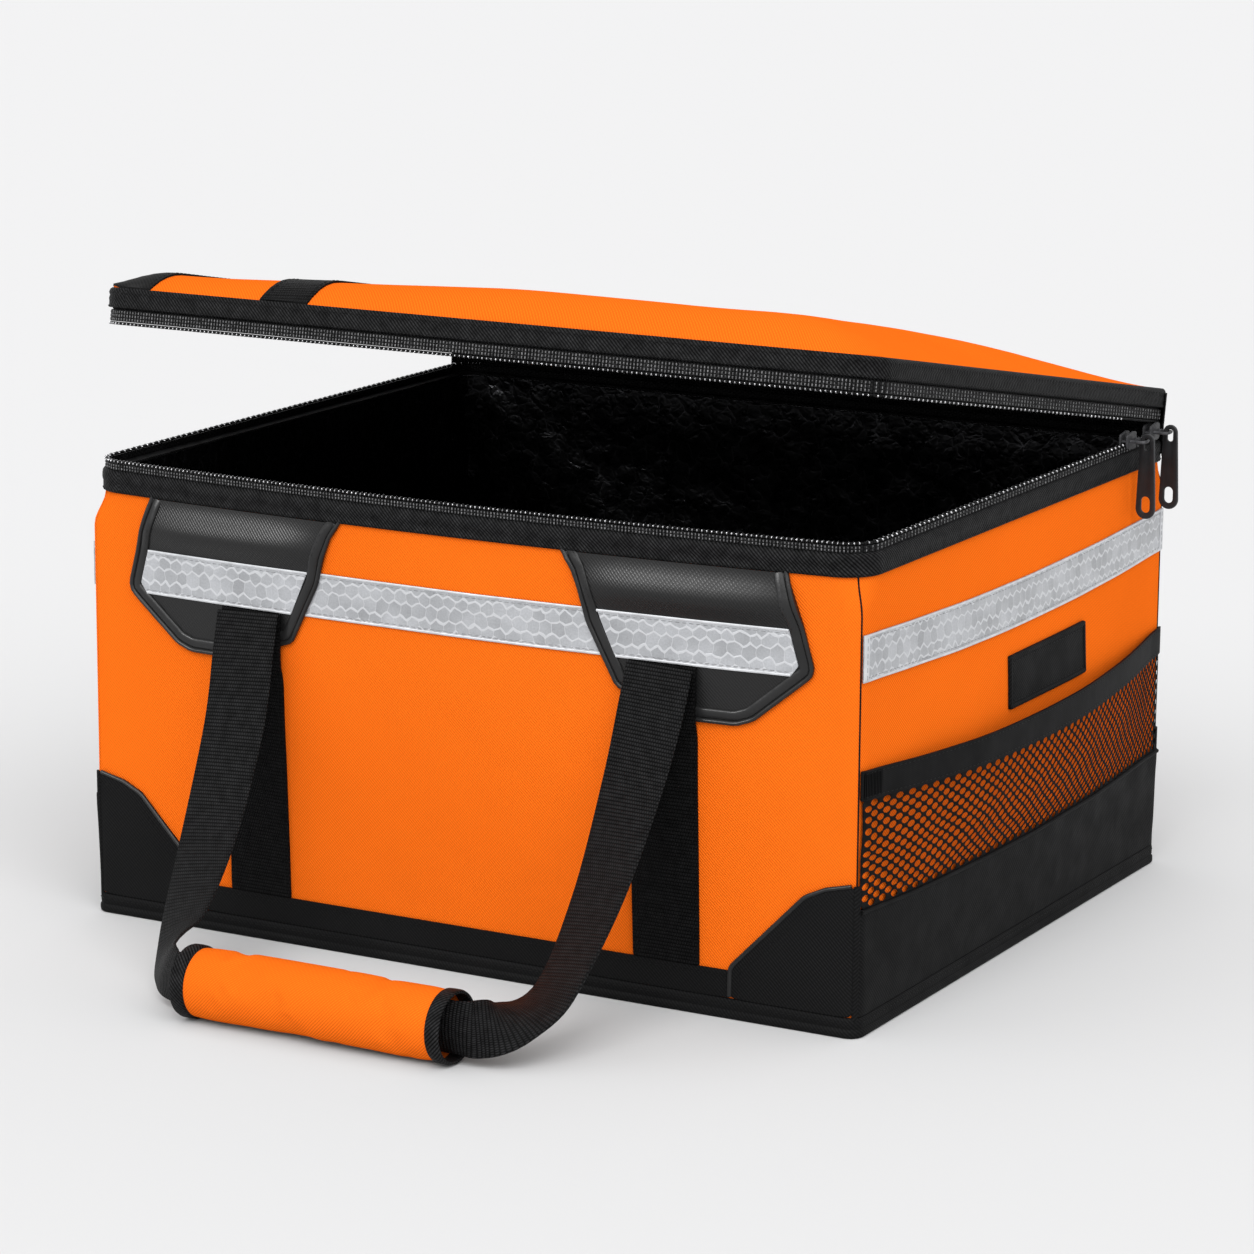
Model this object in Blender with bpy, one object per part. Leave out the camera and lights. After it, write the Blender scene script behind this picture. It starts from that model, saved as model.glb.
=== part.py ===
"""An insulated delivery bag for pizza boxes, with its lid ajar.

The origin is the centre of the foot on the floor. +X is the bag's right, -Y its
front and +Z up. All lengths are in metres.
"""

import math

import bmesh
import bpy
from mathutils import Matrix, Vector

# Bag body
BAG_WIDTH = 0.500
BAG_DEPTH = 0.420
BINDING_BOTTOM = 0.2551
FRONT_BOW = 0.012
REAR_BOW = 0.007
SIDE_BOW = 0.008
FRONT_RIM_RADIUS = 0.020
REAR_RIM_RADIUS = 0.014
WALL_CORNER_RADIUS = 0.003
CLEARANCE = 0.0003

# Wall layers
PANEL_THICKNESS = 0.0012
FOAM_THICKNESS = 0.005
LINER_THICKNESS = 0.0008

# Foot
BOTTOM_THICKNESS = 0.0015
BOARD_THICKNESS = 0.003
FOOT_HEIGHT = 0.0115
FOOT_THICKNESS = 0.0023
FOOT_RADIUS = 0.006

# Rim
BINDING_HEIGHT = 0.013
BINDING_THICKNESS = 0.0016
TAPE_THICKNESS = 0.0009
TAPE_INSET = 0.0010
TAPE_HEIGHT = 0.0035
COIL_HEIGHT = 0.0019
COIL_WIDTH = 0.0025
COIL_PROUD = 0.0007
CHAIN_GAP = 0.0016

# Trim sewn on the walls
TRIM_THICKNESS = 0.0012
BAND_HEIGHT = 0.0157
CORNER_PATCH_WIDTH = 0.078
CORNER_PATCH_HEIGHT = 0.0752
STRIP_BOTTOM = 0.1985
STRIP_HEIGHT = 0.026
STRIP_THICKNESS = 0.0008
SIDE_STRIP_SAG = 0.004
HANDLE_SPACING = 0.268
WEBBING_WIDTH = 0.041
WEBBING_THICKNESS = 0.0015
PATCH_INNER = 0.082
PATCH_WIDTH = 0.1405
PATCH_BOTTOM = 0.168
SEWN_RAMP = 0.012

# Right side
LOWER_PANEL_END = 0.0725
LOWER_PANEL_MIDDLE = 0.068
NET_THICKNESS = 0.0008
NET_STANDOFF = 0.0006
NET_STRAND = 0.0022
NET_CELL_WIDTH = 0.021
NET_CELL_HEIGHT = 0.0165
POCKET_SLACK = 0.009
POCKET_BINDING_HEIGHT = 0.0165
POCKET_END = 0.1335
POCKET_MIDDLE = 0.1275
POCKET_BINDING_THICKNESS = 0.0014
LABEL_WIDTH = 0.111
LABEL_HEIGHT = 0.031
LABEL_CENTRE_Y = 0.022
LABEL_BOTTOM = 0.1485
LABEL_THICKNESS = 0.0015

# Lid
LID_AJAR = math.radians(10.5)
LID_TAPE_HEIGHT = 0.0062
LID_BAND_HEIGHT = 0.0108
LID_CROWN = 0.0195
LID_FRONT_SHOULDER = 0.040
LID_END_SHOULDER = 0.150
LID_REAR_SHOULDER = 0.300
LID_STRAP_WIDTH = 0.033
LID_STRAP_INSET = 0.116
LID_TRIM_WIDTH = 0.036
HINGE_TAPE_THICKNESS = 0.0008
HINGE_TAPE_DROP = 0.016
HINGE_END_INSET = 0.075
HINGE_ROLL_RADIUS = 0.0012
HINGE_RUNNING_GAP = 0.00035

# Handles
GRIP_LENGTH = 0.172
GRIP_RADIUS = 0.0195
GRIP_WALL = 0.0011
GRIP_END_BINDING = 0.0010
GRIP_END_LENGTH = 0.009
GRIP_REACH = 0.1335
GRIP_FLOOR_GAP = 0.0002
WEBBING_IN_GRIP = 0.0355

# Zipper sliders and pulls
SLIDER_LENGTH = 0.014
SLIDER_HALF_HEIGHT = 0.0055
SLIDER_PLATE = 0.0012
SLIDER_CLEARANCE = 0.0004
SLIDER_POST = 0.0009
REAR_SLIDER_INSET = 0.0213
SLIDER_SPACING = 0.0365
BRIDGE_REACH = 0.0085
BRIDGE_BAR = 0.0016
BRIDGE_LENGTH = 0.010
BRIDGE_AHEAD = 0.0015
PULL_AHEAD = 0.0018
PULL_LENGTH = 0.052
PULL_WIDTH = 0.0125
PULL_TOP_WIDTH = 0.0092
PULL_THICKNESS = 0.0018
PULL_SLOT_WIDTH = 0.0036
PULL_SLOT_LENGTH = 0.0075
PULL_HOLE_WIDTH = 0.0056
PULL_HOLE_LENGTH = 0.010

# Outlines as shares of the size that they follow
PATCH_OUTLINE_SHARES = (
    (-0.078, 1.0), (-0.024, 0.89), (0.010, 0.755), (0.043, 0.565), (0.171, 0.161), (0.484, 0.0), (0.683, 0.0),
    (0.754, 0.04), (0.993, 0.357), (1.0, 0.415), (0.954, 0.68), (0.883, 1.0),
)
CORNER_OUTLINE_SHARES = ((0.0, 0.0), (1.0, 0.0), (0.99, 0.24), (0.404, 0.867), (0.24, 0.947), (0.0, 1.0))
WALL_ROW_SHARES = (0.31, 0.58, 0.74)
STRAP_ROUTE_SHARES = (
    # outward, drop, sideways, turn of the width from level to upright
    (0.0, 0.0, 0.0, 0.0),
    (0.05, 0.12, 0.02, 0.0),
    (0.16, 0.35, 0.083, 0.03),
    (0.40, 0.674, 0.156, 0.15),
    (0.675, 0.919, 0.27, 0.40),
    (0.88, 0.985, 0.48, 0.70),
    (0.97, 1.0, 0.75, 0.92),
)
SHOULDER_POWER_SHARE = 2.2
SNAP_SHARE = 1e-5


def derived_heights():
    """Heights that follow from the sizes above, from the floor up."""
    heights = {}
    heights["foot_top"] = FOOT_HEIGHT + CLEARANCE
    heights["wall_bottom"] = BOTTOM_THICKNESS + CLEARANCE
    heights["trim_top"] = BINDING_BOTTOM - CLEARANCE
    heights["binding_top"] = BINDING_BOTTOM + BINDING_HEIGHT
    heights["wall_top"] = heights["binding_top"] - BINDING_THICKNESS - CLEARANCE
    heights["tape_bottom"] = heights["binding_top"] + CLEARANCE
    heights["tape_top"] = heights["tape_bottom"] + TAPE_HEIGHT
    heights["coil_bottom"] = heights["tape_top"] + CLEARANCE
    heights["coil_top"] = heights["coil_bottom"] + COIL_HEIGHT
    heights["hinge"] = heights["coil_top"] + CHAIN_GAP / 2
    return heights


HEIGHTS = derived_heights()
HINGE_OUT = CLEARANCE + BINDING_THICKNESS + CLEARANCE + HINGE_TAPE_THICKNESS / 2
LINER_OUT = -(PANEL_THICKNESS + FOAM_THICKNESS + LINER_THICKNESS + 2 * CLEARANCE)
PATCH_OUT = CLEARANCE + TRIM_THICKNESS
SEWN_HIGH_OUT = PATCH_OUT + CLEARANCE
HANDLE_AXIS_OUT = SEWN_HIGH_OUT + WEBBING_THICKNESS + CLEARANCE + WEBBING_THICKNESS / 2
HANDLE_AXIS_HEIGHT = STRIP_BOTTOM - CLEARANCE - WEBBING_THICKNESS / 2
GRIP_OUTER = GRIP_RADIUS + GRIP_END_BINDING
GRIP_HEIGHT = GRIP_OUTER + GRIP_FLOOR_GAP


def clear_scene():
    """Remove what the scene starts with."""
    for thing in list(bpy.data.objects):
        bpy.data.objects.remove(thing, do_unlink=True)


def make_material(name, colour, roughness, metallic=0.0):
    """One plain surface finish."""
    material = bpy.data.materials.new(name)
    material.use_nodes = True
    shader = material.node_tree.nodes["Principled BSDF"]
    shader.inputs["Base Color"].default_value = (*colour, 1.0)
    shader.inputs["Roughness"].default_value = roughness
    shader.inputs["Metallic"].default_value = metallic
    return material


FINISHES = {
    "orange_oxford": ((1.0, 0.16, 0.008), 0.7, 0.0),
    "black_coated": ((0.012, 0.012, 0.013), 0.45, 0.0),
    "black_webbing": ((0.014, 0.014, 0.015), 0.75, 0.0),
    "reflective": ((0.55, 0.56, 0.58), 0.3, 0.2),
    "foil": ((0.05, 0.05, 0.052), 0.25, 0.9),
    "foam": ((0.35, 0.35, 0.36), 0.9, 0.0),
    "board": ((0.02, 0.02, 0.02), 0.6, 0.0),
    "zipper_black": ((0.01, 0.01, 0.01), 0.5, 0.0),
    "gunmetal": ((0.09, 0.09, 0.095), 0.3, 1.0),
}


def finish(name):
    """The material of that name, made once."""
    known = bpy.data.materials.get(name)
    if known:
        return known
    return make_material(name, *FINISHES[name])


def add_object(name, mesh_builder, surface, origin=Vector((0, 0, 0)), smooth=False):
    """Turn a bmesh, written in world places, into an object with the given origin."""
    bmesh.ops.recalc_face_normals(mesh_builder, faces=mesh_builder.faces)
    if mesh_builder.calc_volume(signed=True) < 0:
        bmesh.ops.reverse_faces(mesh_builder, faces=mesh_builder.faces)
    mesh_builder.transform(Matrix.Translation(-origin))
    mesh = bpy.data.meshes.new(name)
    mesh_builder.to_mesh(mesh)
    mesh_builder.free()
    mesh.materials.append(finish(surface))
    if smooth:
        mesh.shade_smooth()
        mesh.set_sharp_from_angle(angle=math.radians(40))
    thing = bpy.data.objects.new(name, mesh)
    bpy.context.scene.collection.objects.link(thing)
    thing.location = origin
    return thing


class Lattice:
    """A surface of flat triangles over a grid, on which trim is cut and laid.

    Every piece that lies on the surface is cut along the same triangles, so the
    layers stay parallel at any distance.
    """

    def __init__(self, p_lines, q_lines, base, outward):
        self.p_lines = p_lines
        self.q_lines = q_lines
        self.base = [[base(p, q) for q in q_lines] for p in p_lines]
        self.outward = [[outward(p, q) for q in q_lines] for p in p_lines]

    @staticmethod
    def to_index(lines, value):
        """Place along an axis, counted in cells."""
        last = len(lines) - 2
        cell = 0
        while cell < last and value > lines[cell + 1]:
            cell += 1
        return cell + (value - lines[cell]) / (lines[cell + 1] - lines[cell])

    def at_index(self, i, j, out):
        """The point at a place counted in cells, moved outward by out."""
        a = min(max(math.floor(i), 0), len(self.p_lines) - 2)
        b = min(max(math.floor(j), 0), len(self.q_lines) - 2)
        s = i - a
        t = j - b
        middle = (a + 1, b) if s >= t else (a, b + 1)
        low, high = min(s, t), max(s, t)
        corners = (((a, b), 1 - high), (middle, high - low), ((a + 1, b + 1), low))
        point = Vector((0, 0, 0))
        for (x, y), share in corners:
            point += share * (self.base[x][y] + out * self.outward[x][y])
        return point

    def place(self, p, q, out):
        """The point over p and q, moved outward by out."""
        return self.at_index(self.to_index(self.p_lines, p), self.to_index(self.q_lines, q), out)

    def split_edges(self, outline):
        """The outline with a point wherever it crosses a grid line."""
        points = []
        for k, start in enumerate(outline):
            end = outline[(k + 1) % len(outline)]
            shares = {0.0}
            for axis, lines in ((0, self.p_lines), (1, self.q_lines)):
                span = end[axis] - start[axis]
                for line in lines:
                    share = (line - start[axis]) / span if span else 0.0
                    if 0.0 < share < 1.0:
                        shares.add(share)
            for share in sorted(shares):
                points.append(tuple(s + share * (e - s) for s, e in zip(start, end)))
        return points

    def plate(self, outline, low, high, p_cuts=(), q_cuts=()):
        """A closed plate on the surface, between two distances outward."""
        low_out = low if callable(low) else (lambda p, q: low)
        high_out = high if callable(high) else (lambda p, q: high)
        builder = bmesh.new()
        corners = []
        for p, q in self.split_edges(outline):
            corners.append(builder.verts.new((self.to_index(self.p_lines, p), self.to_index(self.q_lines, q), 0)))
        builder.faces.new(corners)
        columns, rows = len(self.p_lines), len(self.q_lines)
        cuts = [((k, 0, 0), (1, 0, 0)) for k in range(1, columns - 1)]
        cuts += [((0, k, 0), (0, 1, 0)) for k in range(1, rows - 1)]
        cuts += [((k, 0, 0), (1, -1, 0)) for k in range(1 - rows, columns)]
        cuts += [((self.to_index(self.p_lines, p), 0, 0), (1, 0, 0)) for p in p_cuts]
        cuts += [((0, self.to_index(self.q_lines, q), 0), (0, 1, 0)) for q in q_cuts]
        for place, normal in cuts:
            everything = builder.verts[:] + builder.edges[:] + builder.faces[:]
            bmesh.ops.bisect_plane(builder, geom=everything, dist=SNAP_SHARE, plane_co=place, plane_no=normal)
        bmesh.ops.triangulate(builder, faces=builder.faces)
        return self.thicken(builder, low_out, high_out)

    def from_index(self, lines, value):
        """Back from a place counted in cells to the length along the axis."""
        cell = min(max(math.floor(value), 0), len(lines) - 2)
        return lines[cell] + (value - cell) * (lines[cell + 1] - lines[cell])

    def thicken(self, builder, low_out, high_out):
        """Give a flat cut-out its thickness and lay it on the surface."""
        grown = bmesh.ops.extrude_face_region(builder, geom=builder.faces[:])
        upper = {v for v in grown["geom"] if isinstance(v, bmesh.types.BMVert)}
        for vertex in builder.verts:
            i, j = vertex.co.x, vertex.co.y
            p, q = self.from_index(self.p_lines, i), self.from_index(self.q_lines, j)
            out = high_out(p, q) if vertex in upper else low_out(p, q)
            vertex.co = self.at_index(i, j, out)
        return builder


def ring(sections):
    """A closed band through sections that follow each other round a loop."""
    builder = bmesh.new()
    loops = [[builder.verts.new(point) for point in section] for section in sections]
    for here, there in zip(loops, loops[1:] + loops[:1]):
        for k, vertex in enumerate(here):
            nxt = (k + 1) % len(here)
            builder.faces.new((vertex, here[nxt], there[nxt], there[k]))
    return builder


def bar(sections):
    """A closed bar through sections from one end to the other."""
    builder = bmesh.new()
    loops = [[builder.verts.new(point) for point in section] for section in sections]
    for here, there in zip(loops, loops[1:]):
        for k, vertex in enumerate(here):
            nxt = (k + 1) % len(here)
            builder.faces.new((vertex, here[nxt], there[nxt], there[k]))
    builder.faces.new(loops[0])
    builder.faces.new(loops[-1])
    return builder


def spaced(start, end, cells):
    """Evenly spaced values, both ends included."""
    return [start + (end - start) * k / cells for k in range(cells + 1)]


class Side:
    """One of the four walls: its size, its bow and the rim's corners at its ends."""

    def __init__(self, turns, half_length, half_depth, bow, rim_bow, radii, cells):
        self.turn = Matrix.Rotation(turns * math.pi / 2, 3, "Z")
        self.half_length = half_length
        self.half_depth = half_depth
        self.bow = bow
        self.rim_bow = rim_bow
        self.radii = radii
        inner = spaced(radii[0] - half_length, half_length - radii[1], cells)
        self.lines = [-half_length] + inner + [half_length]
        top = HEIGHTS["wall_top"]
        rows = [HEIGHTS["wall_bottom"], HEIGHTS["foot_top"]] + [share * top for share in WALL_ROW_SHARES]
        rows += [HEIGHTS["trim_top"], top]
        self.lattice = Lattice(self.lines, rows, self.wall_base, self.wall_outward)

    def bulge(self, u, height):
        """How far the wall bows out there."""
        rise = (height - HEIGHTS["foot_top"]) / (HEIGHTS["trim_top"] - HEIGHTS["foot_top"])
        rise = min(max(rise, 0.0), 1.0)
        reach = self.half_length - max(self.radii)
        across = max(0.0, 1 - (u / reach) ** 2)
        crest = math.sin(math.pi / 2 * rise) if self.rim_bow else math.sin(math.pi * rise)
        return self.bow * across * crest

    def corner_inset(self, u, height):
        """How far a wall's end draws in to meet the rounded rim or foot."""
        rim_radius = self.radii[1] if u > 0 else self.radii[0]
        if height <= HEIGHTS["foot_top"]:
            radius = FOOT_RADIUS
        elif height < HEIGHTS["trim_top"]:
            radius = WALL_CORNER_RADIUS
        else:
            radius = rim_radius
        return radius * (1 - math.sqrt(0.5))

    def wall_base(self, u, height):
        at_end = abs(u) >= self.half_length
        inset = self.corner_inset(u, height) if at_end else 0.0
        across = math.copysign(self.half_length - inset, u) if at_end else u
        return self.turn @ Vector((across, inset - self.half_depth - self.bulge(u, height), 0)) + Vector((0, 0, height))

    def wall_outward(self, u, height):
        return self.turn @ Vector((u / self.half_length, -1, 0))

    def rim_stations(self):
        """Places and outward directions along the rim, up to the next wall's start."""
        stations = []
        for u in self.lines[1:-1]:
            bow = self.bulge(u, HEIGHTS["wall_top"])
            stations.append((self.turn @ Vector((u, -self.half_depth - bow, 0)), self.turn @ Vector((0, -1, 0))))
        return stations + self.corner_stations(self.radii[1])

    def corner_stations(self, radius):
        """The rounded corner at this wall's far end, between the straight runs."""
        centre = Vector((self.half_length - radius, radius - self.half_depth, 0))
        stations = []
        for step in (1, 2, 3):
            angle = step * math.pi / 8
            way = Vector((math.sin(angle), -math.cos(angle), 0))
            stations.append((self.turn @ (centre + radius * way), self.turn @ way))
        return stations

    def foot_stations(self):
        """The straight run and the rounded corner of the foot's outline."""
        stations = []
        for u in (FOOT_RADIUS - self.half_length, self.half_length - FOOT_RADIUS):
            stations.append((self.turn @ Vector((u, -self.half_depth, 0)), self.turn @ Vector((0, -1, 0))))
        return stations + self.corner_stations(FOOT_RADIUS)


def make_sides():
    """Front, right, rear and left walls, in that order round the bag."""
    half_width, half_depth = BAG_WIDTH / 2, BAG_DEPTH / 2
    front_pair = (FRONT_RIM_RADIUS, FRONT_RIM_RADIUS)
    rear_pair = (REAR_RIM_RADIUS, REAR_RIM_RADIUS)
    right_pair = (FRONT_RIM_RADIUS, REAR_RIM_RADIUS)
    return (
        Side(0, half_width, half_depth, FRONT_BOW, True, front_pair, 8),
        Side(1, half_depth, half_width, SIDE_BOW, False, right_pair, 6),
        Side(2, half_width, half_depth, REAR_BOW, False, rear_pair, 8),
        Side(3, half_depth, half_width, SIDE_BOW, False, right_pair[::-1], 6),
    )


def rim_outline(sides):
    return [station for side in sides for station in side.rim_stations()]


def foot_outline(sides):
    return [station for side in sides for station in side.foot_stations()]


def swept(stations, profile):
    """Sections of a profile, given as distance outward and height, at each station."""
    return [[place + out * way + Vector((0, 0, height)) for out, height in profile] for place, way in stations]


def box_profile(out_low, out_high, low, high):
    return ((out_low, low), (out_high, low), (out_high, high), (out_low, high))


def slab(outline, low, high):
    """A flat plate with an outline of level points."""
    return bar([[Vector((point.x, point.y, height)) for point in outline] for height in (low, high)])


def wall_outline(sides, out, height):
    """The walls' own outline at one height, moved outward by out."""
    return [side.lattice.place(u, height, out) for side in sides for u in side.lines[:-1]]


def wall_panels(sides):
    for side, name in zip(sides, ("front_panel", "right_panel", "rear_panel", "left_panel")):
        reach = side.half_length - CLEARANCE
        bottom, top = HEIGHTS["wall_bottom"], HEIGHTS["wall_top"]
        outline = ((-reach, bottom), (reach, bottom), (reach, top), (-reach, top))
        add_object(name, side.lattice.plate(outline, -PANEL_THICKNESS, 0.0), "orange_oxford")


def wall_columns(sides, out, bottom):
    """Columns of points round all four walls, from bottom to the walls' top."""
    columns = []
    for side in sides:
        rows = [bottom] + [row for row in side.lattice.q_lines if row > bottom + CLEARANCE]
        for u in side.lines[:-1]:
            columns.append([side.lattice.place(u, row, out) for row in rows])
    return columns


def wrap_quads(builder, columns):
    """Triangles between neighbouring columns, split the way the walls are."""
    for here, there in zip(columns, columns[1:] + columns[:1]):
        for k in range(len(here) - 1):
            builder.faces.new((here[k], there[k], there[k + 1]))
            builder.faces.new((here[k], there[k + 1], here[k + 1]))


def wall_shell(sides, outer, inner, bottom, floor_thickness=0.0):
    """A layer round all four walls, with a floor where it has one."""
    builder = bmesh.new()
    outside = [[builder.verts.new(p) for p in column] for column in wall_columns(sides, outer, bottom)]
    inside = [[builder.verts.new(p) for p in column] for column in wall_columns(sides, inner, bottom + floor_thickness)]
    wrap_quads(builder, outside)
    wrap_quads(builder, inside)
    for k in range(len(outside)):
        nxt = (k + 1) % len(outside)
        builder.faces.new((outside[k][-1], outside[nxt][-1], inside[nxt][-1], inside[k][-1]))
        if not floor_thickness:
            builder.faces.new((outside[k][0], outside[nxt][0], inside[nxt][0], inside[k][0]))
    if floor_thickness:
        for columns in (outside, inside):
            bmesh.ops.triangulate(builder, faces=[builder.faces.new([column[0] for column in columns])])
    return builder


def insulation(sides):
    """Board, foam and liner, from the outside in."""
    board_bottom = BOTTOM_THICKNESS + CLEARANCE
    board_top = board_bottom + BOARD_THICKNESS
    board_inset = PANEL_THICKNESS + CLEARANCE
    outline = wall_outline(sides, -board_inset, board_bottom)
    add_object("base_board", slab(outline, board_bottom, board_top), "board")
    foam_bottom = board_top + CLEARANCE
    foam_out = -(PANEL_THICKNESS + CLEARANCE)
    foam_in = foam_out - FOAM_THICKNESS
    add_object("wall_foam", wall_shell(sides, foam_out, foam_in, foam_bottom), "foam")
    pad = wall_outline(sides, foam_in - CLEARANCE, foam_bottom)
    pad_top = foam_bottom + FOAM_THICKNESS
    add_object("base_foam", slab(pad, foam_bottom, pad_top), "foam")
    liner = wall_shell(sides, LINER_OUT + LINER_THICKNESS, LINER_OUT, pad_top + CLEARANCE, LINER_THICKNESS)
    add_object("liner", liner, "foil")


def foot(sides):
    outline = foot_outline(sides)
    bottom = slab([place for place, way in outline], 0.0, BOTTOM_THICKNESS)
    add_object("bottom_panel", bottom, "black_coated")
    profile = box_profile(CLEARANCE, CLEARANCE + FOOT_THICKNESS, 0.0, FOOT_HEIGHT)
    add_object("base_binding", ring(swept(outline, profile)), "black_webbing")


def rim(sides):
    outline = rim_outline(sides)
    outer = CLEARANCE + BINDING_THICKNESS
    top = HEIGHTS["binding_top"]
    shelf = top - BINDING_THICKNESS
    profile = (
        (CLEARANCE, BINDING_BOTTOM), (outer, BINDING_BOTTOM), (outer, top),
        (LINER_OUT, top), (LINER_OUT, shelf), (CLEARANCE, shelf),
    )
    add_object("rim_binding", ring(swept(outline, profile)), "black_webbing")
    tape = box_profile(-TAPE_INSET, TAPE_THICKNESS - TAPE_INSET, HEIGHTS["tape_bottom"], HEIGHTS["tape_top"])
    add_object("body_zipper_tape", ring(swept(outline, tape)), "zipper_black")
    coil = box_profile(COIL_PROUD - COIL_WIDTH, COIL_PROUD, HEIGHTS["coil_bottom"], HEIGHTS["coil_top"])
    add_object("body_zipper_coil", ring(swept(outline, coil)), "zipper_black")


def corner_patches(sides):
    """Black patches on the lower corners of the front and rear walls, and the bands between."""
    bottom = HEIGHTS["foot_top"]
    for side, face in ((sides[0], "front"), (sides[2], "rear")):
        edge = side.half_length - CLEARANCE
        for sign, hand in ((-1, "left"), (1, "right")):
            if face == "rear":
                hand = "right" if sign < 0 else "left"
            outline = [
                (sign * (edge - x * CORNER_PATCH_WIDTH), bottom + z * CORNER_PATCH_HEIGHT)
                for x, z in CORNER_OUTLINE_SHARES
            ]
            plate = side.lattice.plate(outline, CLEARANCE, PATCH_OUT)
            add_object(f"{face}_{hand}_corner_patch", plate, "black_coated")
        reach = edge - CORNER_PATCH_WIDTH - CLEARANCE
        top = bottom + BAND_HEIGHT
        outline = ((-reach, bottom), (reach, bottom), (reach, top), (-reach, top))
        add_object(f"{face}_bottom_band", side.lattice.plate(outline, CLEARANCE, PATCH_OUT), "black_coated")


def patch_inner_edge(height):
    """How far from the middle the handle patch starts at a height."""
    share = (height - PATCH_BOTTOM) / (BINDING_BOTTOM - CLEARANCE - PATCH_BOTTOM)
    edge = [point for point in PATCH_OUTLINE_SHARES if point[0] < 0.5]
    for (x_high, z_high), (x_low, z_low) in zip(edge, edge[1:]):
        if share >= z_low:
            across = x_high + (x_low - x_high) * (z_high - share) / (z_high - z_low)
            return PATCH_INNER + across * PATCH_WIDTH
    return PATCH_INNER


def handle_mounts(sides):
    """Handle patches, sewn webbing and the reflective strips of the front and rear walls."""
    patch_top = BINDING_BOTTOM - CLEARANCE
    strip_top = STRIP_BOTTOM + STRIP_HEIGHT
    sewn_bottom = HEIGHTS["foot_top"] + BAND_HEIGHT + CLEARANCE
    sewn_top = STRIP_BOTTOM - CLEARANCE
    ramp_top = PATCH_BOTTOM - CLEARANCE
    ramp_bottom = ramp_top - SEWN_RAMP

    def sewn_low(p, q):
        share = min(max((q - ramp_bottom) / SEWN_RAMP, 0.0), 1.0)
        return CLEARANCE + share * (SEWN_HIGH_OUT - CLEARANCE)

    def sewn_high(p, q):
        return sewn_low(p, q) + WEBBING_THICKNESS

    for side, face in ((sides[0], "front"), (sides[2], "rear")):
        for sign, hand in ((-1, "left"), (1, "right")):
            if face == "rear":
                hand = "right" if sign < 0 else "left"
            outline = [
                (sign * (PATCH_INNER + x * PATCH_WIDTH), PATCH_BOTTOM + z * (patch_top - PATCH_BOTTOM))
                for x, z in PATCH_OUTLINE_SHARES
            ]
            plate = side.lattice.plate(outline, CLEARANCE, PATCH_OUT)
            add_object(f"{face}_{hand}_handle_patch", plate, "black_coated")
            near = PATCH_INNER + PATCH_WIDTH / 8
            far = PATCH_INNER + PATCH_WIDTH * 7 / 8
            outline = [(sign * u, z) for u, z in (
                (near, STRIP_BOTTOM), (far, STRIP_BOTTOM), (far, strip_top), (near, strip_top))]
            strip = side.lattice.plate(outline, SEWN_HIGH_OUT, SEWN_HIGH_OUT + STRIP_THICKNESS)
            add_object(f"{face}_{hand}_patch_strip", strip, "reflective")
            middle, half = sign * HANDLE_SPACING / 2, WEBBING_WIDTH / 2
            outline = (
                (middle - half, sewn_bottom), (middle + half, sewn_bottom),
                (middle + half, sewn_top), (middle - half, sewn_top),
            )
            sewn = side.lattice.plate(outline, sewn_low, sewn_high, q_cuts=(ramp_bottom, ramp_top))
            add_object(f"{face}_{hand}_sewn_webbing", sewn, "black_webbing")
        rise = BINDING_BOTTOM - CLEARANCE - PATCH_BOTTOM
        bends = sorted(PATCH_BOTTOM + z * rise for x, z in PATCH_OUTLINE_SHARES[:6])
        heights = [STRIP_BOTTOM] + [z for z in bends if STRIP_BOTTOM < z < strip_top] + [strip_top]
        right_end = [(patch_inner_edge(z) - CLEARANCE, z) for z in heights]
        outline = right_end + [(-u, z) for u, z in reversed(right_end)]
        middle_strip = side.lattice.plate(outline, CLEARANCE, CLEARANCE + STRIP_THICKNESS)
        add_object(f"{face}_reflective_strip", middle_strip, "reflective")


def side_trim(sides):
    """Reflective strips and lower panels of the right and left walls."""
    for side, face in ((sides[1], "right"), (sides[3], "left")):
        edge = side.half_length - CLEARANCE
        lower = []
        for u in spaced(-edge, edge, 10):
            lower.append((u, sag(u, side.half_length, STRIP_BOTTOM, STRIP_BOTTOM - SIDE_STRIP_SAG)))
        outline = lower + [(u, z + STRIP_HEIGHT) for u, z in reversed(lower)]
        strip = side.lattice.plate(outline, CLEARANCE, CLEARANCE + STRIP_THICKNESS)
        add_object(f"{face}_reflective_strip", strip, "reflective")
        bottom = HEIGHTS["foot_top"]
        upper = [(u, lower_panel_top(u, side.half_length)) for u in spaced(edge, -edge, 10)]
        outline = [(-edge, bottom), (edge, bottom)] + upper
        panel = side.lattice.plate(outline, CLEARANCE, PATCH_OUT)
        add_object(f"{face}_lower_panel", panel, "black_coated")


def sag(u, half_length, end, middle):
    """A height that dips from the ends to the middle."""
    return middle + (end - middle) * (u / half_length) ** 2


def lower_panel_top(u, half_length):
    return sag(u, half_length, LOWER_PANEL_END, LOWER_PANEL_MIDDLE)


def pocket_bottom(u, half_length):
    return lower_panel_top(u, half_length) + CLEARANCE


def pocket_mouth(u, half_length):
    return sag(u, half_length, POCKET_END, POCKET_MIDDLE)


def pocket_out(u, height, half_length):
    """How far the slack pocket stands off the wall."""
    bottom, mouth = pocket_bottom(u, half_length), pocket_mouth(u, half_length)
    rise = min(max((height - bottom) / (mouth - bottom), 0.0), 1.0)
    return NET_STANDOFF + POCKET_SLACK * (1 - (u / half_length) ** 2) * math.sin(math.pi / 2 * rise)


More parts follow.
